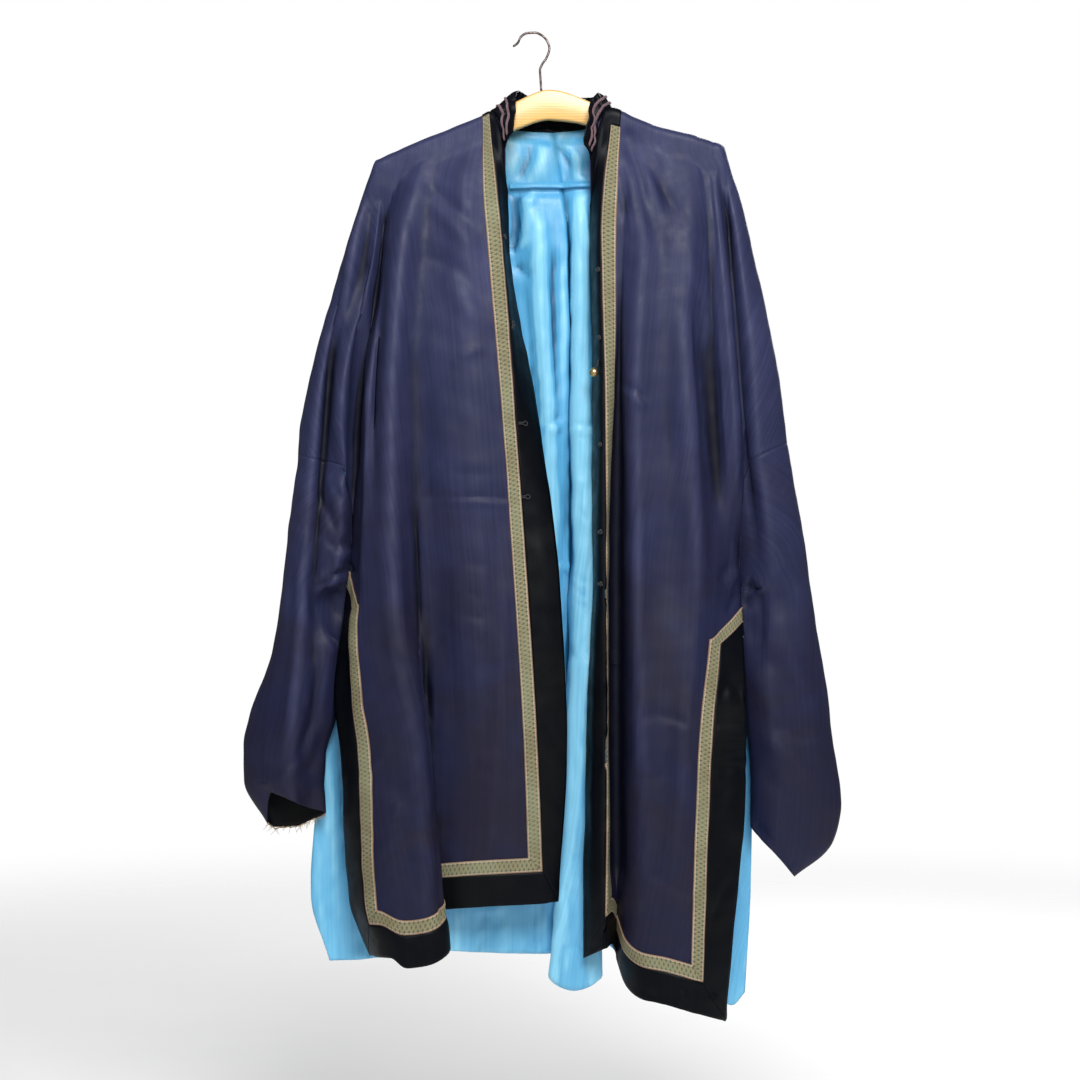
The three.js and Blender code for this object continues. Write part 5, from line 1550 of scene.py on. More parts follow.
def silk_finish(name, tints, roughness, slack_depth, faded, stained, ridges, folds, **constants):
    """Satin-woven silk: a plain colour that is stained and streaked along its warp, and lightened
    in patches over a range of heights, which is partly fading and partly painted light, with a
    painted highlight on its ridges and painted shade in its folds.

    faded and stained give the heights, and ridges and folds the relief, between which each
    grows from its least to its most.
    grows from its least to its most."""
    material, nodes, shader = new_material(name, roughness, **constants)
    cloth, place = cloth_place(nodes), object_place(nodes)
    height = nodes.axes(place)["Z"]
    threads = nodes.group(THREADS, vector=cloth, threads=1800.0, step=0.37)
    streaks = nodes.group(STREAKS, vector=cloth)["Mask"]
    patches = nodes.math("MULTIPLY_ADD", nodes.clouds(place, 5.0, 0.35, 0.75), 0.6, 0.4)
    stains = nodes.clouds(place, 8.5, 0.38)
    # The faded tint grows in patches over a range of heights: partly fading, and partly painted
    # light, which makes the navy silk and black satin lighter towards the top and the lining
    # lighter towards the hem.
    faded_and_lit_share = nodes.math("MULTIPLY", patches, grows(nodes, height, *faded))
    stained_share = nodes.math("MULTIPLY", stains, grows(nodes, height, *stained))
    # The relief gives a painted highlight that grows on the ridges, and painted shade that grows in
    # the folds.
    painted_highlight_on_ridges = grows(nodes, cloth_relief(nodes), *ridges)
    painted_shade_in_folds = grows(nodes, cloth_relief(nodes), *folds)
    tints = {name: colour(*values) for name, values in tints.items()}
    tint = nodes.mix(faded_and_lit_share, tints["plain"], tints["faded"])
    for share, strength, over in (
        (painted_highlight_on_ridges, 0.7, "painted_highlight_on_ridges"), (stained_share, 0.7, "stained"), (streaks, 0.3, "deep"),
        (threads["Tone"], 0.2, "deep"), (painted_shade_in_folds, 0.92, "painted_shade_in_folds"),
    ):
        tint = nodes.laid_over(tint, share, strength, tints[over])
    worn = nodes.spread(nodes.noise(place, 60.0, 4.0), 0.3, 0.7, roughness - 0.05, roughness + 0.08)
    slack = nodes.noise(nodes.scaled(cloth, (70.0, 22.0, 0.0)), 1.0, 4.0, 0.6)
    soft = bump(nodes, slack, slack_depth)
    feed(nodes, shader, base_color=tint, roughness=worn,
         normal=bump(nodes, threads["Height"], 0.007, Normal=soft))
    return material


RIBBON_REPEAT = 5.6 * MM  # of its lozenges
RIBBON_TINTS = {
    "ground": (132, 122, 96), "dots": (82, 98, 82), "net": (152, 150, 112),
    "edge": (150, 124, 100), "ticks": (208, 190, 164), "outline": (88, 80, 60),
    "red_ticks": (122, 78, 62), "faded": (150, 160, 130), "dulled": (104, 92, 64),
    # the tint for the folds is painted shade
    "painted_shade_in_folds": (62, 58, 40),
}


def ribbon_finish():
    """Woven ribbon: a small lozenge net down the middle, between tan edges with a scallop."""
    material, nodes, shader = new_material("woven_ribbon", 0.72, specular_ior_level=0.25)
    cloth, place = cloth_place(nodes), object_place(nodes)
    axes = nodes.axes(cloth)
    repeat, middle = RIBBON_REPEAT, (BORDER_WIDTH + RIBBON_WIDTH / 2) * MM
    along = nodes.math("MULTIPLY", nodes.math("PINGPONG", axes["X"], repeat / 2), 2 / repeat)
    off_middle = nodes.math("ABSOLUTE", nodes.math("SUBTRACT", axes["Y"], middle))
    across = nodes.math("MULTIPLY", off_middle, 1 / (RIBBON_WIDTH / 2 * MM))
    lozenge = nodes.math("ADD", along, nodes.math("MULTIPLY", across, 1 / 0.62))
    off_net = nodes.math("ABSOLUTE", nodes.math("SUBTRACT", lozenge, 1.0))
    net = nodes.spread(off_net, 0.14, 0.3, 1, 0)
    inner_dot = nodes.spread(lozenge, 0.3, 0.5, 1, 0)
    outer_dot = nodes.spread(lozenge, 1.45, 1.65, 0, 1)
    scallop = nodes.math("MULTIPLY_ADD", along, 0.14, 0.6)
    off_edge = nodes.math("SUBTRACT", across, scallop)
    edge = nodes.spread(off_edge, -0.02, 0.05)
    outline = nodes.spread(nodes.math("ABSOLUTE", off_edge), 0.02, 0.07, 1, 0)
    slanted = nodes.math("MULTIPLY_ADD", axes["Y"], 0.8, axes["X"])
    ticks = nodes.math("PINGPONG", slanted, repeat / 4)
    tick = nodes.spread(ticks, repeat * 0.06, repeat * 0.16)
    red = nodes.spread(across, 0.86, 0.94)
    tints = {name: colour(*values) for name, values in RIBBON_TINTS.items()}
    dots = nodes.math("ADD", inner_dot, outer_dot, clamp=True)
    tint = nodes.mix(dots, tints["ground"], tints["dots"])
    tint = nodes.laid_over(tint, net, 0.8, tints["net"])
    tint = nodes.mix(edge, tint, nodes.mix(tick, tints["edge"], tints["ticks"]))
    # Painted shade: the ribbon is darkened where it lies in a fold of the cloth.
    painted_shade_in_folds = grows(nodes, cloth_relief(nodes), 0.0, -9.0)
    for share, strength, over in (
        (outline, 0.6, "outline"), (nodes.math("MULTIPLY", red, tick), 0.8, "red_ticks"),
        (nodes.clouds(place, 7.0, 0.45, 0.7), 0.3, "faded"),
        (nodes.clouds(place, 26.0, 0.4, 0.7), 0.4, "dulled"), (painted_shade_in_folds, 0.6, "painted_shade_in_folds"),
    ):
        tint = nodes.laid_over(tint, share, strength, tints[over])
    threads = nodes.group(THREADS, vector=cloth, threads=1400.0, step=1.0)
    relief = nodes.math("MULTIPLY_ADD", threads["Height"], 0.3, nodes.math("MAXIMUM", net, edge))
    feed(nodes, shader, base_color=tint, normal=bump(nodes, relief, 0.2))
    return material


def wood_finish():
    """Pale varnished wood, its grain running along the hanger."""
    material, nodes, shader = new_material(
        "varnished_wood", 0.32, coat_weight=0.4, coat_roughness=0.2)
    place = object_place(nodes)
    stretched = nodes.scaled(place, (6.0, 60.0, 60.0))
    rings = nodes.add("ShaderNodeTexWave", {
        "Vector": stretched, "Scale": 1.6, "Distortion": 5.0, "Detail": 3.0, "Detail Scale": 1.2,
    }, bands_direction="Z").outputs["Fac"]
    pores = nodes.noise(nodes.scaled(place, (40.0, 900.0, 900.0)), 1.0, 2.0)
    tint = nodes.mix(rings, colour(238, 194, 118), colour(222, 172, 92))
    tint = nodes.mix(nodes.spread(pores, 0.55, 0.75, 0, 0.4), tint, colour(176, 124, 62))
    feed(nodes, shader, base_color=tint, normal=bump(nodes, pores, 0.05))
    return material


def metal_finish(name, bright, dull, roughness, scale):
    """Old metal, dulled in patches."""
    material, nodes, shader = new_material(name, roughness, metallic=1.0)
    place = object_place(nodes)
    dulled = nodes.clouds(place, scale, 0.35, 0.65)
    scratches = nodes.noise(place, scale * 6, 3.0)
    feed(nodes, shader,
         base_color=nodes.mix(dulled, bright, dull),
         roughness=nodes.spread(dulled, 0, 1, roughness - 0.1, roughness + 0.2),
         normal=bump(nodes, scratches, 0.08))
    return material


def braid_finish(name, light, dark):
    """Twisted cord or braid: slanting strands along its length."""
    material, nodes, shader = new_material(name, 0.6, sheen_weight=0.2)
    cloth, place = cloth_place(nodes), object_place(nodes)
    axes = nodes.axes(cloth)
    slanted = nodes.math("ADD", axes["X"], axes["Y"])
    strand = nodes.math("SINE", nodes.math("MULTIPLY", slanted, 2 * math.pi / (2.2 * MM)))
    tint = nodes.mix(nodes.spread(strand, -1, 1), dark, light)
    tint = nodes.laid_over(tint, nodes.clouds(place, 60.0), 0.4, dark)
    feed(nodes, shader, base_color=tint, normal=bump(nodes, strand, 0.25))
    return material


def thread_finish(name, light, dark):
    """Sewing thread, spun and a little fuzzy."""
    material, nodes, shader = new_material(name, 0.7, sheen_weight=0.3)
    place = object_place(nodes)
    spun = nodes.noise(place, 2600.0, 2.0)
    worn = nodes.noise(place, 30.0, 3.0)
    tint = nodes.mix(nodes.spread(worn, 0.35, 0.65), light, dark)
    feed(nodes, shader, base_color=nodes.mix(nodes.spread(spun, 0.4, 0.7, 0, 0.5), tint, dark),
         normal=bump(nodes, spun, 0.08))
    return material


# In each silk below, the tint for the ridges is a painted highlight, the tint for the folds is
# painted shade, and the faded tint over the heights is partly fading and partly painted light.
NAVY_SILK = silk_finish(
    "navy_silk",
    {"plain": (29, 32, 61), "faded": (63, 67, 105), "stained": (37, 31, 44),
     "deep": (13, 16, 36), "painted_highlight_on_ridges": (66, 69, 104), "painted_shade_in_folds": (4, 6, 20)},
    roughness=0.5, slack_depth=0.2, faded=(-1.0, -0.25), stained=(-0.3, -0.95),
    ridges=(0.0, 5.0), folds=(-0.2, -4.4), specular_ior_level=0.2)
BLACK_SATIN = silk_finish(
    "black_satin",
    {"plain": (6, 9, 15), "faded": (10, 13, 21), "stained": (18, 18, 18),
     "deep": (3, 4, 8), "painted_highlight_on_ridges": (26, 31, 38), "painted_shade_in_folds": (1, 2, 5)},
    roughness=0.42, slack_depth=0.25, faded=(-1.0, -0.25), stained=(-0.2, -0.9),
    ridges=(0.5, 5.0), folds=(0.0, -5.0), specular_ior_level=0.1)
BLUE_LINING = silk_finish(
    "blue_lining",
    {"plain": (88, 170, 216), "faded": (128, 204, 240), "stained": (124, 164, 164),
     "deep": (48, 138, 186), "painted_highlight_on_ridges": (160, 230, 254), "painted_shade_in_folds": (2, 66, 104)},
    roughness=0.4, slack_depth=0.8, faded=(-0.2, -1.0), stained=(-0.22, -0.15),
    ridges=(0.0, 2.0), folds=(-0.3, -3.4), specular_ior_level=0.4)
WOVEN_RIBBON = ribbon_finish()
MAUVE_BRAID = braid_finish("mauve_braid", colour(144, 110, 118), colour(80, 56, 64))
TAN_THREAD = thread_finish("tan_thread", colour(166, 136, 108), colour(112, 84, 66))
FRAYED_THREAD = thread_finish("frayed_thread", colour(196, 174, 140), colour(132, 110, 84))
BLACK_CORD = braid_finish("black_cord", colour(34, 36, 42), colour(8, 9, 12))
GILT = metal_finish("worn_gilt", colour(232, 208, 150), colour(170, 138, 84), 0.35, 300.0)
WOOD = wood_finish()
WIRE = metal_finish("hook_wire", colour(120, 108, 106), colour(82, 70, 66), 0.4, 120.0)


# ---------------------------------------------------------------- fastenings and hanger


def placed(points, place, across, out):
    """Points from their own axes (along the strap, up and out) to a place on the cloth."""
    up = np.cross(out, across)
    return place + points @ np.array([across, up, out])


def frog_axes(border, x, z, turn=0.0):
    """Where a fastening sits on the border, the way its strap runs and the way it faces."""
    place, out = front_of([tree_of(border)], x, z)
    across = np.array([-out[1], out[0], 0])
    across /= np.linalg.norm(across)
    up = np.cross(out, across)
    return place + out * CORD_RISE, across * math.cos(turn) + up * math.sin(turn), out


def strap_path(half, is_loop):
    """A cord laid double: out along the strap, round its end and back."""
    apart, level = CORD * 0.55, CORD / 2
    if is_loop:
        reach = KNOT_RADIUS - CORD / 2
        turn = np.linspace(-150, 150, 13) * math.pi / 180
        end = [(half + reach * math.cos(a), reach * math.sin(a), level + 0.3) for a in turn]
    else:
        end = [(half, -apart, level), (half + 0.4, 0, level), (half, apart, level)]
    out = [(-half, -apart, level), (0, -apart, level)]
    back = [(0, apart, level), (-half, apart, level)]
    return smooth_run(np.array([*out, *end, *back], float), 4)


def knot_path(half):
    """The cord of a button knot, which passes over and under itself three times."""
    turn = np.linspace(0, 2 * math.pi, 97)
    ring, wave = KNOT_RADIUS * 0.55, KNOT_RADIUS * 0.24
    radius = ring + wave * np.cos(3 * turn)
    return np.stack([
        half + radius * np.cos(2 * turn),
        radius * np.sin(2 * turn),
        CORD * 0.9 + wave * np.sin(3 * turn),
    ], axis=-1)


def whipping(x):
    """A turn of the thread that whips the two cords of a strap together."""
    around = np.linspace(0, 2 * math.pi, 17)
    return np.stack([
        np.full(17, x),
        CORD * 1.12 * np.cos(around),
        CORD * 0.5 + CORD * 0.62 * np.sin(around),
    ], axis=-1)


def make_frog(name, border, row, is_loop):
    x, z, length, turn = row
    axes = frog_axes(border, x, z, turn)
    half = length / 2
    runs = [(strap_path(half, is_loop), CORD / 2)]
    if not is_loop:
        runs.append((knot_path(half), CORD / 2))
    runs += [(whipping(-half + 0.8), WHIPPING_THREAD), (whipping(-half * 0.1), WHIPPING_THREAD)]
    parts = []
    for path, width in runs:
        world = placed(path, *axes)
        parts.append(tube(world, rounded_ends(world, width), CORD_SIDES))
    return solid_piece(name, parts, BLACK_CORD)


def hump(distance, width):
    """A rounded rise: 1 in its middle, and nearly 0 a few widths away."""
    return np.exp(-(distance / width) ** 2)


def make_button(border):
    """A small gilt ball with a raised band, and the cord loop that it hangs from."""
    place, across, out = frog_axes(border, BUTTON["x"], BUTTON["z"])
    radius = BUTTON["diameter"] / 2
    up = np.cross(out, across)
    tilt = np.linspace(0, math.pi, 41)
    from_middle = tilt - math.pi / 2
    band = 0.22 * hump(from_middle, 0.09) - 0.12 * hump(np.abs(from_middle) - 0.2, 0.05)
    shank = 0.5 * hump(tilt, 0.22)
    outline = radius - 0.22 + band + shank
    rings = np.stack([outline * np.sin(tilt), outline * np.cos(tilt)], axis=-1)
    rows, sides = len(rings) - 2, 36
    lobes = 1 + 0.006 * np.cos(12 * np.arange(sides) / sides * 2 * math.pi)
    cosines, sines = circle(sides)
    ring = (cosines * lobes)[:, None] * across + (sines * lobes)[:, None] * out
    centre = place + out * radius
    points = [centre + ring * ring_radius + up * height for ring_radius, height in rings[1:-1]]
    poles = [centre + up * rings[0, 1], centre + up * rings[-1, 1]]
    points = np.array([*np.concatenate(points), *poles])
    top, foot = rows * sides, rows * sides + 1
    last = (rows - 1) * sides
    faces = ring_faces(rows, sides)
    faces += [[top, (k + 1) % sides, k] for k in range(sides)]
    faces += [[foot, last + k, last + (k + 1) % sides] for k in range(sides)]
    ball = solid_piece("gilt_ball_button", [(points, faces, bare_uv(faces))], GILT)
    apart = CORD * 0.6
    half_loop = np.array([
        (apart, 16, 0.6), (apart, 11, 1.0), (apart, 7, 3.4), (0.4, radius - 0.2, radius)])
    loop = np.concatenate([half_loop, half_loop[::-1] * (-1, 1, 1)])
    path = placed(smooth_run(loop, 6), place, across, out)
    cord = tube(path, rounded_ends(path, CORD / 2), CORD_SIDES)
    return ball, solid_piece("button_loop", [cord], BLACK_CORD)


def hanger_section(x, high, low, half):
    """A rounded rectangle across the hanger, from its top front corner round."""
    radius = max(HANGER_ROUNDING - (HANGER_THICKNESS / 2 - half), SMALLEST_ROUNDING)
    section = []
    for quarter, (y_side, z_side) in enumerate(((1, 1), (-1, 1), (-1, -1), (1, -1))):
        middle_y = y_side * (half - radius)
        middle_z = high - radius if z_side > 0 else low + radius
        for angle in np.linspace(0, math.pi / 2, 5) + quarter * math.pi / 2:
            section.append((
                x, middle_y + radius * math.cos(angle), middle_z + radius * math.sin(angle)))
    return section


def make_hanger():
    """The wooden body: a deep middle and two long arms, with every edge rounded."""
    def shoulders(table):
        return [(row[0][0], row[0][2] - HANGER_CLEARANCE) for row in list(table.values())[3:-1]]
    top = np.array([
        HANGER_TIPS["left"], *shoulders(LEFT_FRONT_BODY)[::-1], *HANGER_CROWN,
        *shoulders(RIGHT_FRONT_BODY), HANGER_TIPS["right"]], float)
    depths = np.array(HANGER_DEPTHS, float)
    top_at, depth_at = smooth_through(*top.T), smooth_through(*depths.T)
    rounding = HANGER_ROUNDING
    left_end, right_end = top[0, 0] - rounding, top[-1, 0] + rounding
    near_end = rounding * (1 - np.cos(np.linspace(0, math.pi / 2, 6)))
    xs = np.concatenate([
        left_end + near_end, np.linspace(left_end + 2 * rounding, right_end - 2 * rounding, 130),
        (right_end - near_end)[::-1]])
    points = []
    for x in xs:
        from_end = np.clip(min(x - left_end, right_end - x), 0, rounding)
        inset = rounding - math.sqrt(rounding**2 - (rounding - from_end) ** 2)
        inside = np.clip(x, top[0, 0], top[-1, 0])
        high = top_at(inside) - inset
        low = top_at(inside) - depth_at(inside) + inset
        points.append(hanger_section(x, high, low, HANGER_THICKNESS / 2 - inset))
    points = np.array(points)
    rings, sides = points.shape[:2]
    faces = ring_faces(rings, sides) + end_faces(rings, sides)
    parts = [(points.reshape(-1, 3), faces, bare_uv(faces))]
    return solid_piece("wooden_hanger", parts, WOOD)


def make_hook():
    centre_x, centre_z = HOOK_CROWN["centre"]
    angles = np.radians(HOOK_CROWN["angles"])
    arc = zip(
        centre_x + HOOK_CROWN["radius"] * np.cos(angles),
        centre_z + HOOK_CROWN["radius"] * np.sin(angles))
    line = np.array([(x, 0, z) for x, z in (*HOOK_SHANK, *arc, *HOOK_TIP)], float)
    path = smooth_run(line, 8)
    radii = rounded_ends(path, HOOK_WIRE / 2)
    return solid_piece("wire_hook", [tube(path, radii, 14)], WIRE)


# ---------------------------------------------------------------- stitches and loose threads

STITCH = {"Spacing": 4.2 * MM, "Length": 2.4 * MM, "Thickness": 0.55 * MM}
IN_FROM_EDGE = 0.06  # of the stitches, in cells of the ribbon


def stitch_tree():
    """Geometry nodes that lay small rounded stitches at even steps along the lines of a mesh."""
    tree = bpy.data.node_groups.new("row_of_stitches", "GeometryNodeTree")
    for label, kind in (
        ("Geometry", "Geometry"), ("Spacing", "Float"), ("Length", "Float"),
        ("Thickness", "Float"), ("Thread", "Material"),
    ):
        tree.interface.new_socket(label, in_out="INPUT", socket_type=f"NodeSocket{kind}")
    tree.interface.new_socket("Geometry", in_out="OUTPUT", socket_type="NodeSocketGeometry")
    nodes = Nodes(tree)
    given = tree.nodes.new("NodeGroupInput").outputs
    seam = nodes.add("GeometryNodeMeshToCurve", {"Mesh": given["Geometry"]}).outputs["Curve"]
    places = nodes.add(
        "GeometryNodeCurveToPoints", {"Curve": seam, "Length": given["Spacing"]},
        mode="LENGTH").outputs
    half_width = nodes.math("MULTIPLY", given["Thickness"], 0.5)
    half_length = nodes.math("MULTIPLY", given["Length"], 0.5)
    size = nodes.add(
        "ShaderNodeCombineXYZ", {0: half_width, 1: half_width, 2: half_length}).outputs[0]
    bead = nodes.add(
        "GeometryNodeMeshIcoSphere", {"Radius": 1.0, "Subdivisions": 1}).outputs["Mesh"]
    laid = nodes.add("GeometryNodeInstanceOnPoints", {
        "Points": places["Points"], "Instance": bead,
        "Rotation": places["Rotation"], "Scale": size}).outputs["Instances"]
    real = nodes.add("GeometryNodeRealizeInstances", {"Geometry": laid}).outputs["Geometry"]
    smooth = nodes.add("GeometryNodeSetShadeSmooth", {"Geometry": real}).outputs["Geometry"]
    sewn = nodes.add("GeometryNodeSetMaterial", {"Geometry": smooth, "Material": given["Thread"]})
    result = tree.nodes.new("NodeGroupOutput")
    tree.links.new(sewn.outputs["Geometry"], result.inputs["Geometry"])
    return tree


STITCH_TREE = stitch_tree()


def ribbon_edges(is_front, ribbon_start):
    """The two edges of a quarter's ribbon, as corners in fold lines and rows: down the opening
    or from the centre back, along the hem, and up the slit to the side."""
    edges = []
    for inset, top in (
        (BORDER_CELLS + IN_FROM_EDGE, SLIT_TOP_ROW - IN_FROM_EDGE),
        (TRIM_CELLS - IN_FROM_EDGE, SLIT_TRIM_ROW + IN_FROM_EDGE),
    ):
        hem = HEM_ROW - inset
        if is_front:
            start = [(inset, ribbon_start), (inset, hem)]
            slit, side = SIDE_FRONT - inset, SIDE_FRONT
        else:
            start = [(CENTRE_BACK, hem)]
            slit, side = SIDE_BACK + inset, SIDE_BACK
        edges.append([*start, (slit, hem), (slit, top), (side, top)])
    return edges


def fine_row(row):
    """The number of fine rows above a place given in rows."""
    return np.interp(row, range(HEM_ROW + 1), np.cumsum((0, *ROW_CELLS)))


def seam_line(cloth, patch, corners, rise):
    """A fine line on the cloth through corners given in fold lines and rows."""
    places = []
    for start, end in zip(corners, corners[1:]):
        cells = max(abs(end[0] - start[0]) * FINE, abs(fine_row(end[1]) - fine_row(start[1])))
        share = np.linspace(0, 1, int(cells) + 2)[:-1, None]
        places.append(np.array(start) * (1 - share) + np.array(end) * share)
    s, t = np.concatenate([*places, [corners[-1]]]).T
    return on_cloth(cloth, patch, s, t, rise)[0]


def stitches(name, seams):
    """Stitches along some seams, each a run of points in millimetres."""
    edges, start = [], 0
    for seam in seams:
        edges += [(start + i, start + i + 1) for i in range(len(seam) - 1)]
        start += len(seam)
    mesh = bpy.data.meshes.new(name)
    mesh.from_pydata((np.concatenate(seams) * MM).tolist(), edges, [])
    piece = bpy.data.objects.new(name, mesh)
    bpy.context.scene.collection.objects.link(piece)
    modifier = piece.modifiers.new("stitches", "NODES")
    modifier.node_group = STITCH_TREE
    given = {**STITCH, "Thread": TAN_THREAD}
    for socket in STITCH_TREE.interface.items_tree:
        if socket.in_out == "INPUT" and socket.name in given:
            modifier[socket.identifier] = given[socket.name]
    bpy.context.view_layer.update()
    evaluated = piece.evaluated_get(bpy.context.evaluated_depsgraph_get())
    sewn = bpy.data.meshes.new_from_object(evaluated)
    piece.modifiers.clear()
    piece.data = sewn
    return piece


HANGING_THREADS = 46


def frayed_cuff(cloth, sleeve):
    """The worn-through back edge of the left cuff: a ragged tan lip with threads hanging off it."""
    random = np.random.default_rng(61)
    half = SIDE_BACK - OUTER_EDGE
    columns = np.linspace(half + 0.15, 2 * half - 0.1, 120) * FINE
    grid = grid_of(cloth, sleeve)
    near = columns.astype(int)
    rest = (columns - near)[:, None]
    edge = grid[near, -1] * (1 - rest) + grid[(near + 1) % len(grid), -1] * rest
    ragged = 0.9 * uneven(edge, 9, 62)[:, None] * np.array([0, 0.4, 1.0])
    lip = edge + ragged + np.array([0, -0.9, -0.8])
    parts = [tube(lip, 0.9 + 0.35 * uneven(edge, 6, 63), 8)]
    for _ in range(HANGING_THREADS):
        start = lip[random.integers(2, len(lip) - 2)]
        length = random.uniform(2.5, 9)
        lean = random.normal(0, 0.55)
        share = np.linspace(0, 1, 7)[:, None]
        sway = random.normal(0, 1.0)
        path = start + share * np.array([lean, -0.25, -1.0]) * length
        path = path + np.sin(share * math.pi) * np.array([sway, -0.3, 0])
        parts.append(tube(path, rounded_ends(path, 0.22), 5))
    return solid_piece("frayed_edge_of_left_cuff", parts, FRAYED_THREAD)


# ---------------------------------------------------------------- the robe's surface


def is_body_or_arm(s, t):
    """The strip's arm columns end at the underarm row, where the lower sleeve is sewn on."""
    return (t < UNDERARM_ROW) | (s < SIDE_FRONT) | (s > SIDE_BACK)


def make_strip(points, is_left):
    s = np.arange(len(points)) / FINE
    return Patch(
        points, s, FINE_ROWS, faces_back=is_left, keep=is_body_or_arm,
        is_mirrored=lambda middle: (middle > SIDE_FRONT / 2) & (middle < SIDE_FRONT))


def make_sleeve(points, is_left):
    rings = np.concatenate([
        *[ring + np.arange(cells) / cells for ring, cells in enumerate(SLEEVE_CELLS)],
        [len(SLEEVE_CELLS)],
    ])
    return Patch(points, np.arange(len(points)) / FINE, rings, faces_back=is_left)


left_strip = make_half(
    LEFT_FRONT_BODY, LEFT_FRONT_KNEES, LEFT_BACK_BODY, LEFT_BACK_KNEES,
    LEFT_UPPER_SLEEVE, LEFT_SIDE)
right_strip = make_half(
    RIGHT_FRONT_BODY, {}, RIGHT_BACK_BODY, RIGHT_BACK_KNEES, RIGHT_UPPER_SLEEVE, RIGHT_SIDE)
side_columns = (SIDE_FRONT * FINE, SIDE_BACK * FINE)
left_sleeve = lower_sleeve(left_strip, side_columns, LEFT_LOWER_SLEEVE, LEFT_CUFF_BACK_DROP)
right_sleeve = lower_sleeve(right_strip, side_columns, RIGHT_LOWER_SLEEVE, RIGHT_CUFF_BACK_DROP)

robe = Cloth({
    "left": make_strip(left_strip, True),
    "right": make_strip(right_strip, False),
    "left_sleeve": make_sleeve(left_sleeve, True),
    "right_sleeve": make_sleeve(right_sleeve, False),
})
strips = {side: robe.patches[side] for side in ("left", "right")}
sleeves = {side: robe.patches[f"{side}_sleeve"] for side in ("left", "right")}

heights = {}
for side, *creases_and_seed in (
    ("left", LEFT_FRONT_CREASES + LEFT_SLEEVE_CREASES, LEFT_BACK_CREASES, 11),
    ("right", RIGHT_FRONT_CREASES + RIGHT_SLEEVE_CREASES, RIGHT_BACK_CREASES, 13),
):
    heights[side] = strip_heights(strips[side], *creases_and_seed)
    heights[f"{side}_sleeve"] = sleeve_heights(sleeves[side], *creases_and_seed)
robe.press(heights)
# The relief of the points sets where the finishes paint shade in the folds and a highlight on the
# ridges.
robe.find_relief(32)

lining = robe.copy()
lining.press({
    **{side: lining_heights(strip) for side, strip in strips.items()},
    **{f"{side}_sleeve": np.zeros(len(sleeve.s)) for side, sleeve in sleeves.items()},
})
lining.find_relief(14, is_seen_from_inside=True)


# ---------------------------------------------------------------- cut pieces


def dress(piece, slot, *nodes):
    """The piece rides on the robe and stands for its CAD nodes; the slot is not used."""
    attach(piece, "root")
    if nodes:
        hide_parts(*nodes)
    return piece


def on_patch(
    name, cloth, patch, layer, finish, inner_finish=None, which=None, is_from_last=False
):
    """A shell on some triangles of a patch, or on all of them."""
    if which is None:
        which = np.ones(len(patch.triangles), bool)
    uv = grain(patch, which, is_from_last)
    return shell(name, cloth, [(patch, which, uv)], layer, finish, inner_finish)


trims_of = {}
borders = {}
TRIM_KINDS = (
    ("border", BORDER, BLACK_SATIN, "black_satin"),
    ("ribbon", RIBBON, WOVEN_RIBBON, "woven_ribbon"),
)
for side, side_table in (("left", LEFT_SIDE), ("right", RIGHT_SIDE)):
    strip = strips[side]
    trims = Trims(strip, side_table["ribbon_start"])
    for face in ("front", "back"):
        is_front = face == "front"
        quarter = f"{face}_{side}"
        panel = on_patch(
            f"silk_{quarter}", robe, strip, SILK, NAVY_SILK, BLUE_LINING,
            trims.is_front == is_front, is_from_last=not is_front)
        dress(panel, "navy_silk", f"panel_{quarter}")
        trims_of[quarter] = []
        runs = {"hem": [HEM], "slit": [SLIT, SLIT_TOP]}
        if is_front:
            runs["opening"] = [OPENING]
        for run, edges in runs.items():
            for kind, layer, finish, slot in TRIM_KINDS:
                which = trims.which(kind, edges, is_front)
                parts = [(strip, which, trims.length_and_width(which))]
                piece = shell(f"{kind}_{run}_of_{quarter}", robe, parts, layer, finish)
                trims_of[quarter].append(dress(piece, slot, f"{kind}_{run}_{quarter}"))
                borders[kind, run, quarter] = piece
        edges = ribbon_edges(is_front, side_table["ribbon_start"])
        seams = [seam_line(robe, strip, edge, RIBBON[1]) for edge in edges]
        sewn = stitches(f"stitches_of_{quarter}", seams)
        trims_of[quarter].append(dress(sewn, "woven_ribbon"))

for side, sleeve in sleeves.items():
    piece = on_patch(f"silk_sleeve_{side}", robe, sleeve, SILK, NAVY_SILK, BLUE_LINING)
    dress(piece, "navy_silk", f"sleeve_{side}")

cuff = sleeves["left"].middles(sleeves["left"].t) > len(SLEEVE_CELLS) - 1
cuff_facing = dress(
    on_patch("facing_of_left_cuff", robe, sleeves["left"], LINING, BLACK_SATIN, which=cuff),
    "black_satin", "cuff_facing_left")

frayed_edge = dress(frayed_cuff(robe, sleeves["left"]), "black_satin")

linings = {}
for side, strip in strips.items():
    s, t = strip.middles(strip.s), strip.middles(strip.t)
    from_centre = CENTRE_BACK - s
    reach = np.select(
        [t < 1, t < UNDERARM_ROW, t < SLIT_TOP_ROW],
        [BORDER_CELLS, LINED_CELLS, SIDE_FRONT], SIDE_FRONT + 1)
    piece = on_patch(
        f"lining_of_back_{side}", lining, strip, LINING, BLUE_LINING,
        which=from_centre < reach, is_from_last=True)
    linings[side] = dress(piece, "blue_lining", f"lining_back_{side}")

neck_parts = []
for strip in strips.values():
    s, t = strip.middles(strip.s), strip.middles(strip.t)
    which = (CENTRE_BACK - s < NECK_CELLS) & (t < len(SHOULDER_DROPS) - 1)
    neck_parts.append((strip, which, grain(strip, which)))
neck_border = dress(
    shell("border_of_back_neck", robe, neck_parts, BORDER, BLACK_SATIN),
    "black_satin", "border_neck_back")

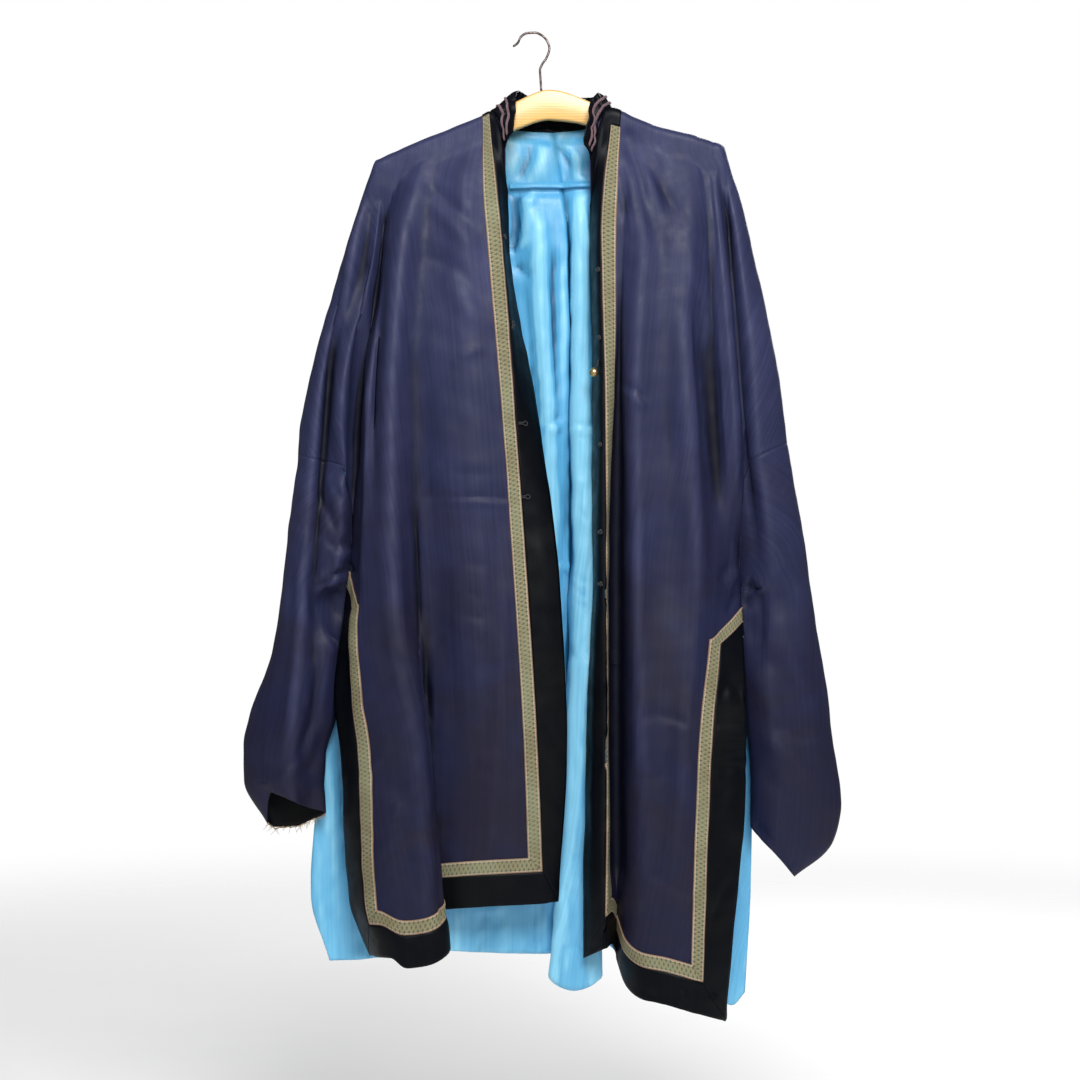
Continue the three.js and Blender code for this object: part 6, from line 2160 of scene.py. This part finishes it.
roll = rolled_edge(robe, strips["left"])
rolled_lining = dress(
    on_patch("rolled_lining_of_front_left", Cloth({"roll": roll}), roll, LINING, BLUE_LINING),
    "blue_lining", "lining_front_left")

fold = tuck(linings.values())
tuck_in_lining = dress(
    on_patch("tuck_in_lining", Cloth({"fold": fold}), fold, TUCK, BLUE_LINING),
    "blue_lining")

collar = make_collar(grid_of(robe, strips["left"]), grid_of(robe, strips["right"]))
collar_patch = collar.patches["collar"]
collar_band = dress(
    on_patch("gathered_collar", collar, collar_patch, COLLAR_SATIN, BLACK_SATIN),
    "black_satin", "collar")

for i, share in enumerate(BRAID_SHARES):
    row = share * COLLAR_CELLS
    low, rest = int(row), row - int(row)
    points = grid_of(collar, collar_patch)
    ways = collar.normals[collar_patch.ids].reshape(points.shape)
    path = points[:, low] * (1 - rest) + points[:, low + 1] * rest
    way = ways[:, low] * (1 - rest) + ways[:, low + 1] * rest
    path = path + way * (COLLAR_SATIN[1] + BRAID_HEIGHT / 2)
    part = laid_cord(path[2:-2], way[2:-2], BRAID_WIDTH, BRAID_HEIGHT, 10)
    braid = dress(
        solid_piece(f"collar_braid_{i + 1}", [part], MAUVE_BRAID), "mauve_piping",
        f"collar_piping_{i + 1}")

for side, frogs, kind in (("left", LEFT_FROGS, "loop"), ("right", RIGHT_FROGS, "knot")):
    border = borders["border", "opening", f"front_{side}"]
    for i, row in enumerate(frogs):
        frog = make_frog(f"{kind}_frog_{i + 1}", border, row, kind == "loop")
        dress(frog, "black_cord", f"frog_{side}_{i + 1}")

ball_button, button_loop = make_button(borders["border", "opening", "front_right"])
dress(ball_button, "gilt_metal", "ball_button")
dress(button_loop, "black_cord")
dress(make_hanger(), "varnished_wood", "hanger_body")
dress(make_hook(), "hook_wire", "hanger_hook")


# ---------------------------------------------------------------- stage, light and camera


# In metres, from the frame's origin.
FLOOR_REACH, FLOOR_LEVEL = 9.0, -1.5
FLOOR_FADE = (1.1, 3.6)  # the distances over which the floor thins out to white
ROOM_LIGHT = 0.22  # what the pale room throws back, beside the two windows
MIDDLE_OF_ROBE = (0, 0, -0.5)
WINDOWS = {  # each one's place, the side of its square, and its power in watts
    "window": ((0.35, -2.3, 1.0), 1.3, 88),
    "back_window": ((1.0, 2.3, 0.7), 1.8, 70),
}
CAMERA_PLACE = (0.0114, -2.8, -0.643)
CAMERA_LENS, CAMERA_SENSOR = 73.5, 36  # millimetres


def link(name, data):
    """An object of some data, in the scene."""
    piece = bpy.data.objects.new(name, data)
    bpy.context.scene.collection.objects.link(piece)
    return piece


def make_stage():
    mesh = bpy.data.meshes.new("floor")
    corners = [(x * FLOOR_REACH, y * FLOOR_REACH, FLOOR_LEVEL)
               for x, y in ((-1, -1), (1, -1), (1, 1), (-1, 1))]
    mesh.from_pydata(corners, [], [(0, 1, 2, 3)])
    floor = link("floor", mesh)
    material, nodes, shader = new_material("pale_floor", 0.9, specular_ior_level=0.1)
    place = object_place(nodes)
    mottled = nodes.noise(place, 3.0)
    level = nodes.scaled(place, (1.0, 1.0, 0.0))
    away = nodes.add("ShaderNodeVectorMath", {0: level}, operation="LENGTH").outputs["Value"]
    feed(nodes, shader,
         base_color=nodes.mix(mottled, colour(246, 246, 246), colour(252, 252, 252)),
         alpha=nodes.spread(away, FLOOR_FADE[0], FLOOR_FADE[1], 1, 0))
    mesh.materials.append(material)


def add_window(name, place, size, power):
    """A square area light, turned to the robe."""
    light = bpy.data.lights.new(name, "AREA")
    light.size, light.energy = size, power
    lamp = link(name, light)
    lamp.location = place
    direction = np.array(MIDDLE_OF_ROBE) - np.array(place)
    lamp.rotation_euler = mathutils.Vector(direction).to_track_quat("-Z", "Y").to_euler()


def light_studio():
    world = bpy.data.worlds.new("studio")
    world.use_nodes = True
    nodes = Nodes(world.node_tree)
    background = world.node_tree.nodes["Background"]
    background.inputs["Color"].default_value = (1, 1, 1, 1)
    seen = nodes.add("ShaderNodeLightPath").outputs["Is Camera Ray"]
    strength = nodes.math("MULTIPLY_ADD", seen, 1.0 - ROOM_LIGHT, ROOM_LIGHT)
    world.node_tree.links.new(strength, background.inputs["Strength"])
    bpy.context.scene.world = world
    for name, (place, size, power) in WINDOWS.items():
        add_window(name, place, size, power)


def place_camera():
    camera = bpy.data.cameras.new("camera")
    camera.lens, camera.sensor_width = CAMERA_LENS, CAMERA_SENSOR
    view = link("camera", camera)
    view.location = CAMERA_PLACE
    view.rotation_euler = (math.pi / 2, 0, 0)
    bpy.context.scene.camera = view


make_stage()
light_studio()
place_camera()
bpy.context.scene.view_settings.view_transform = "Standard"
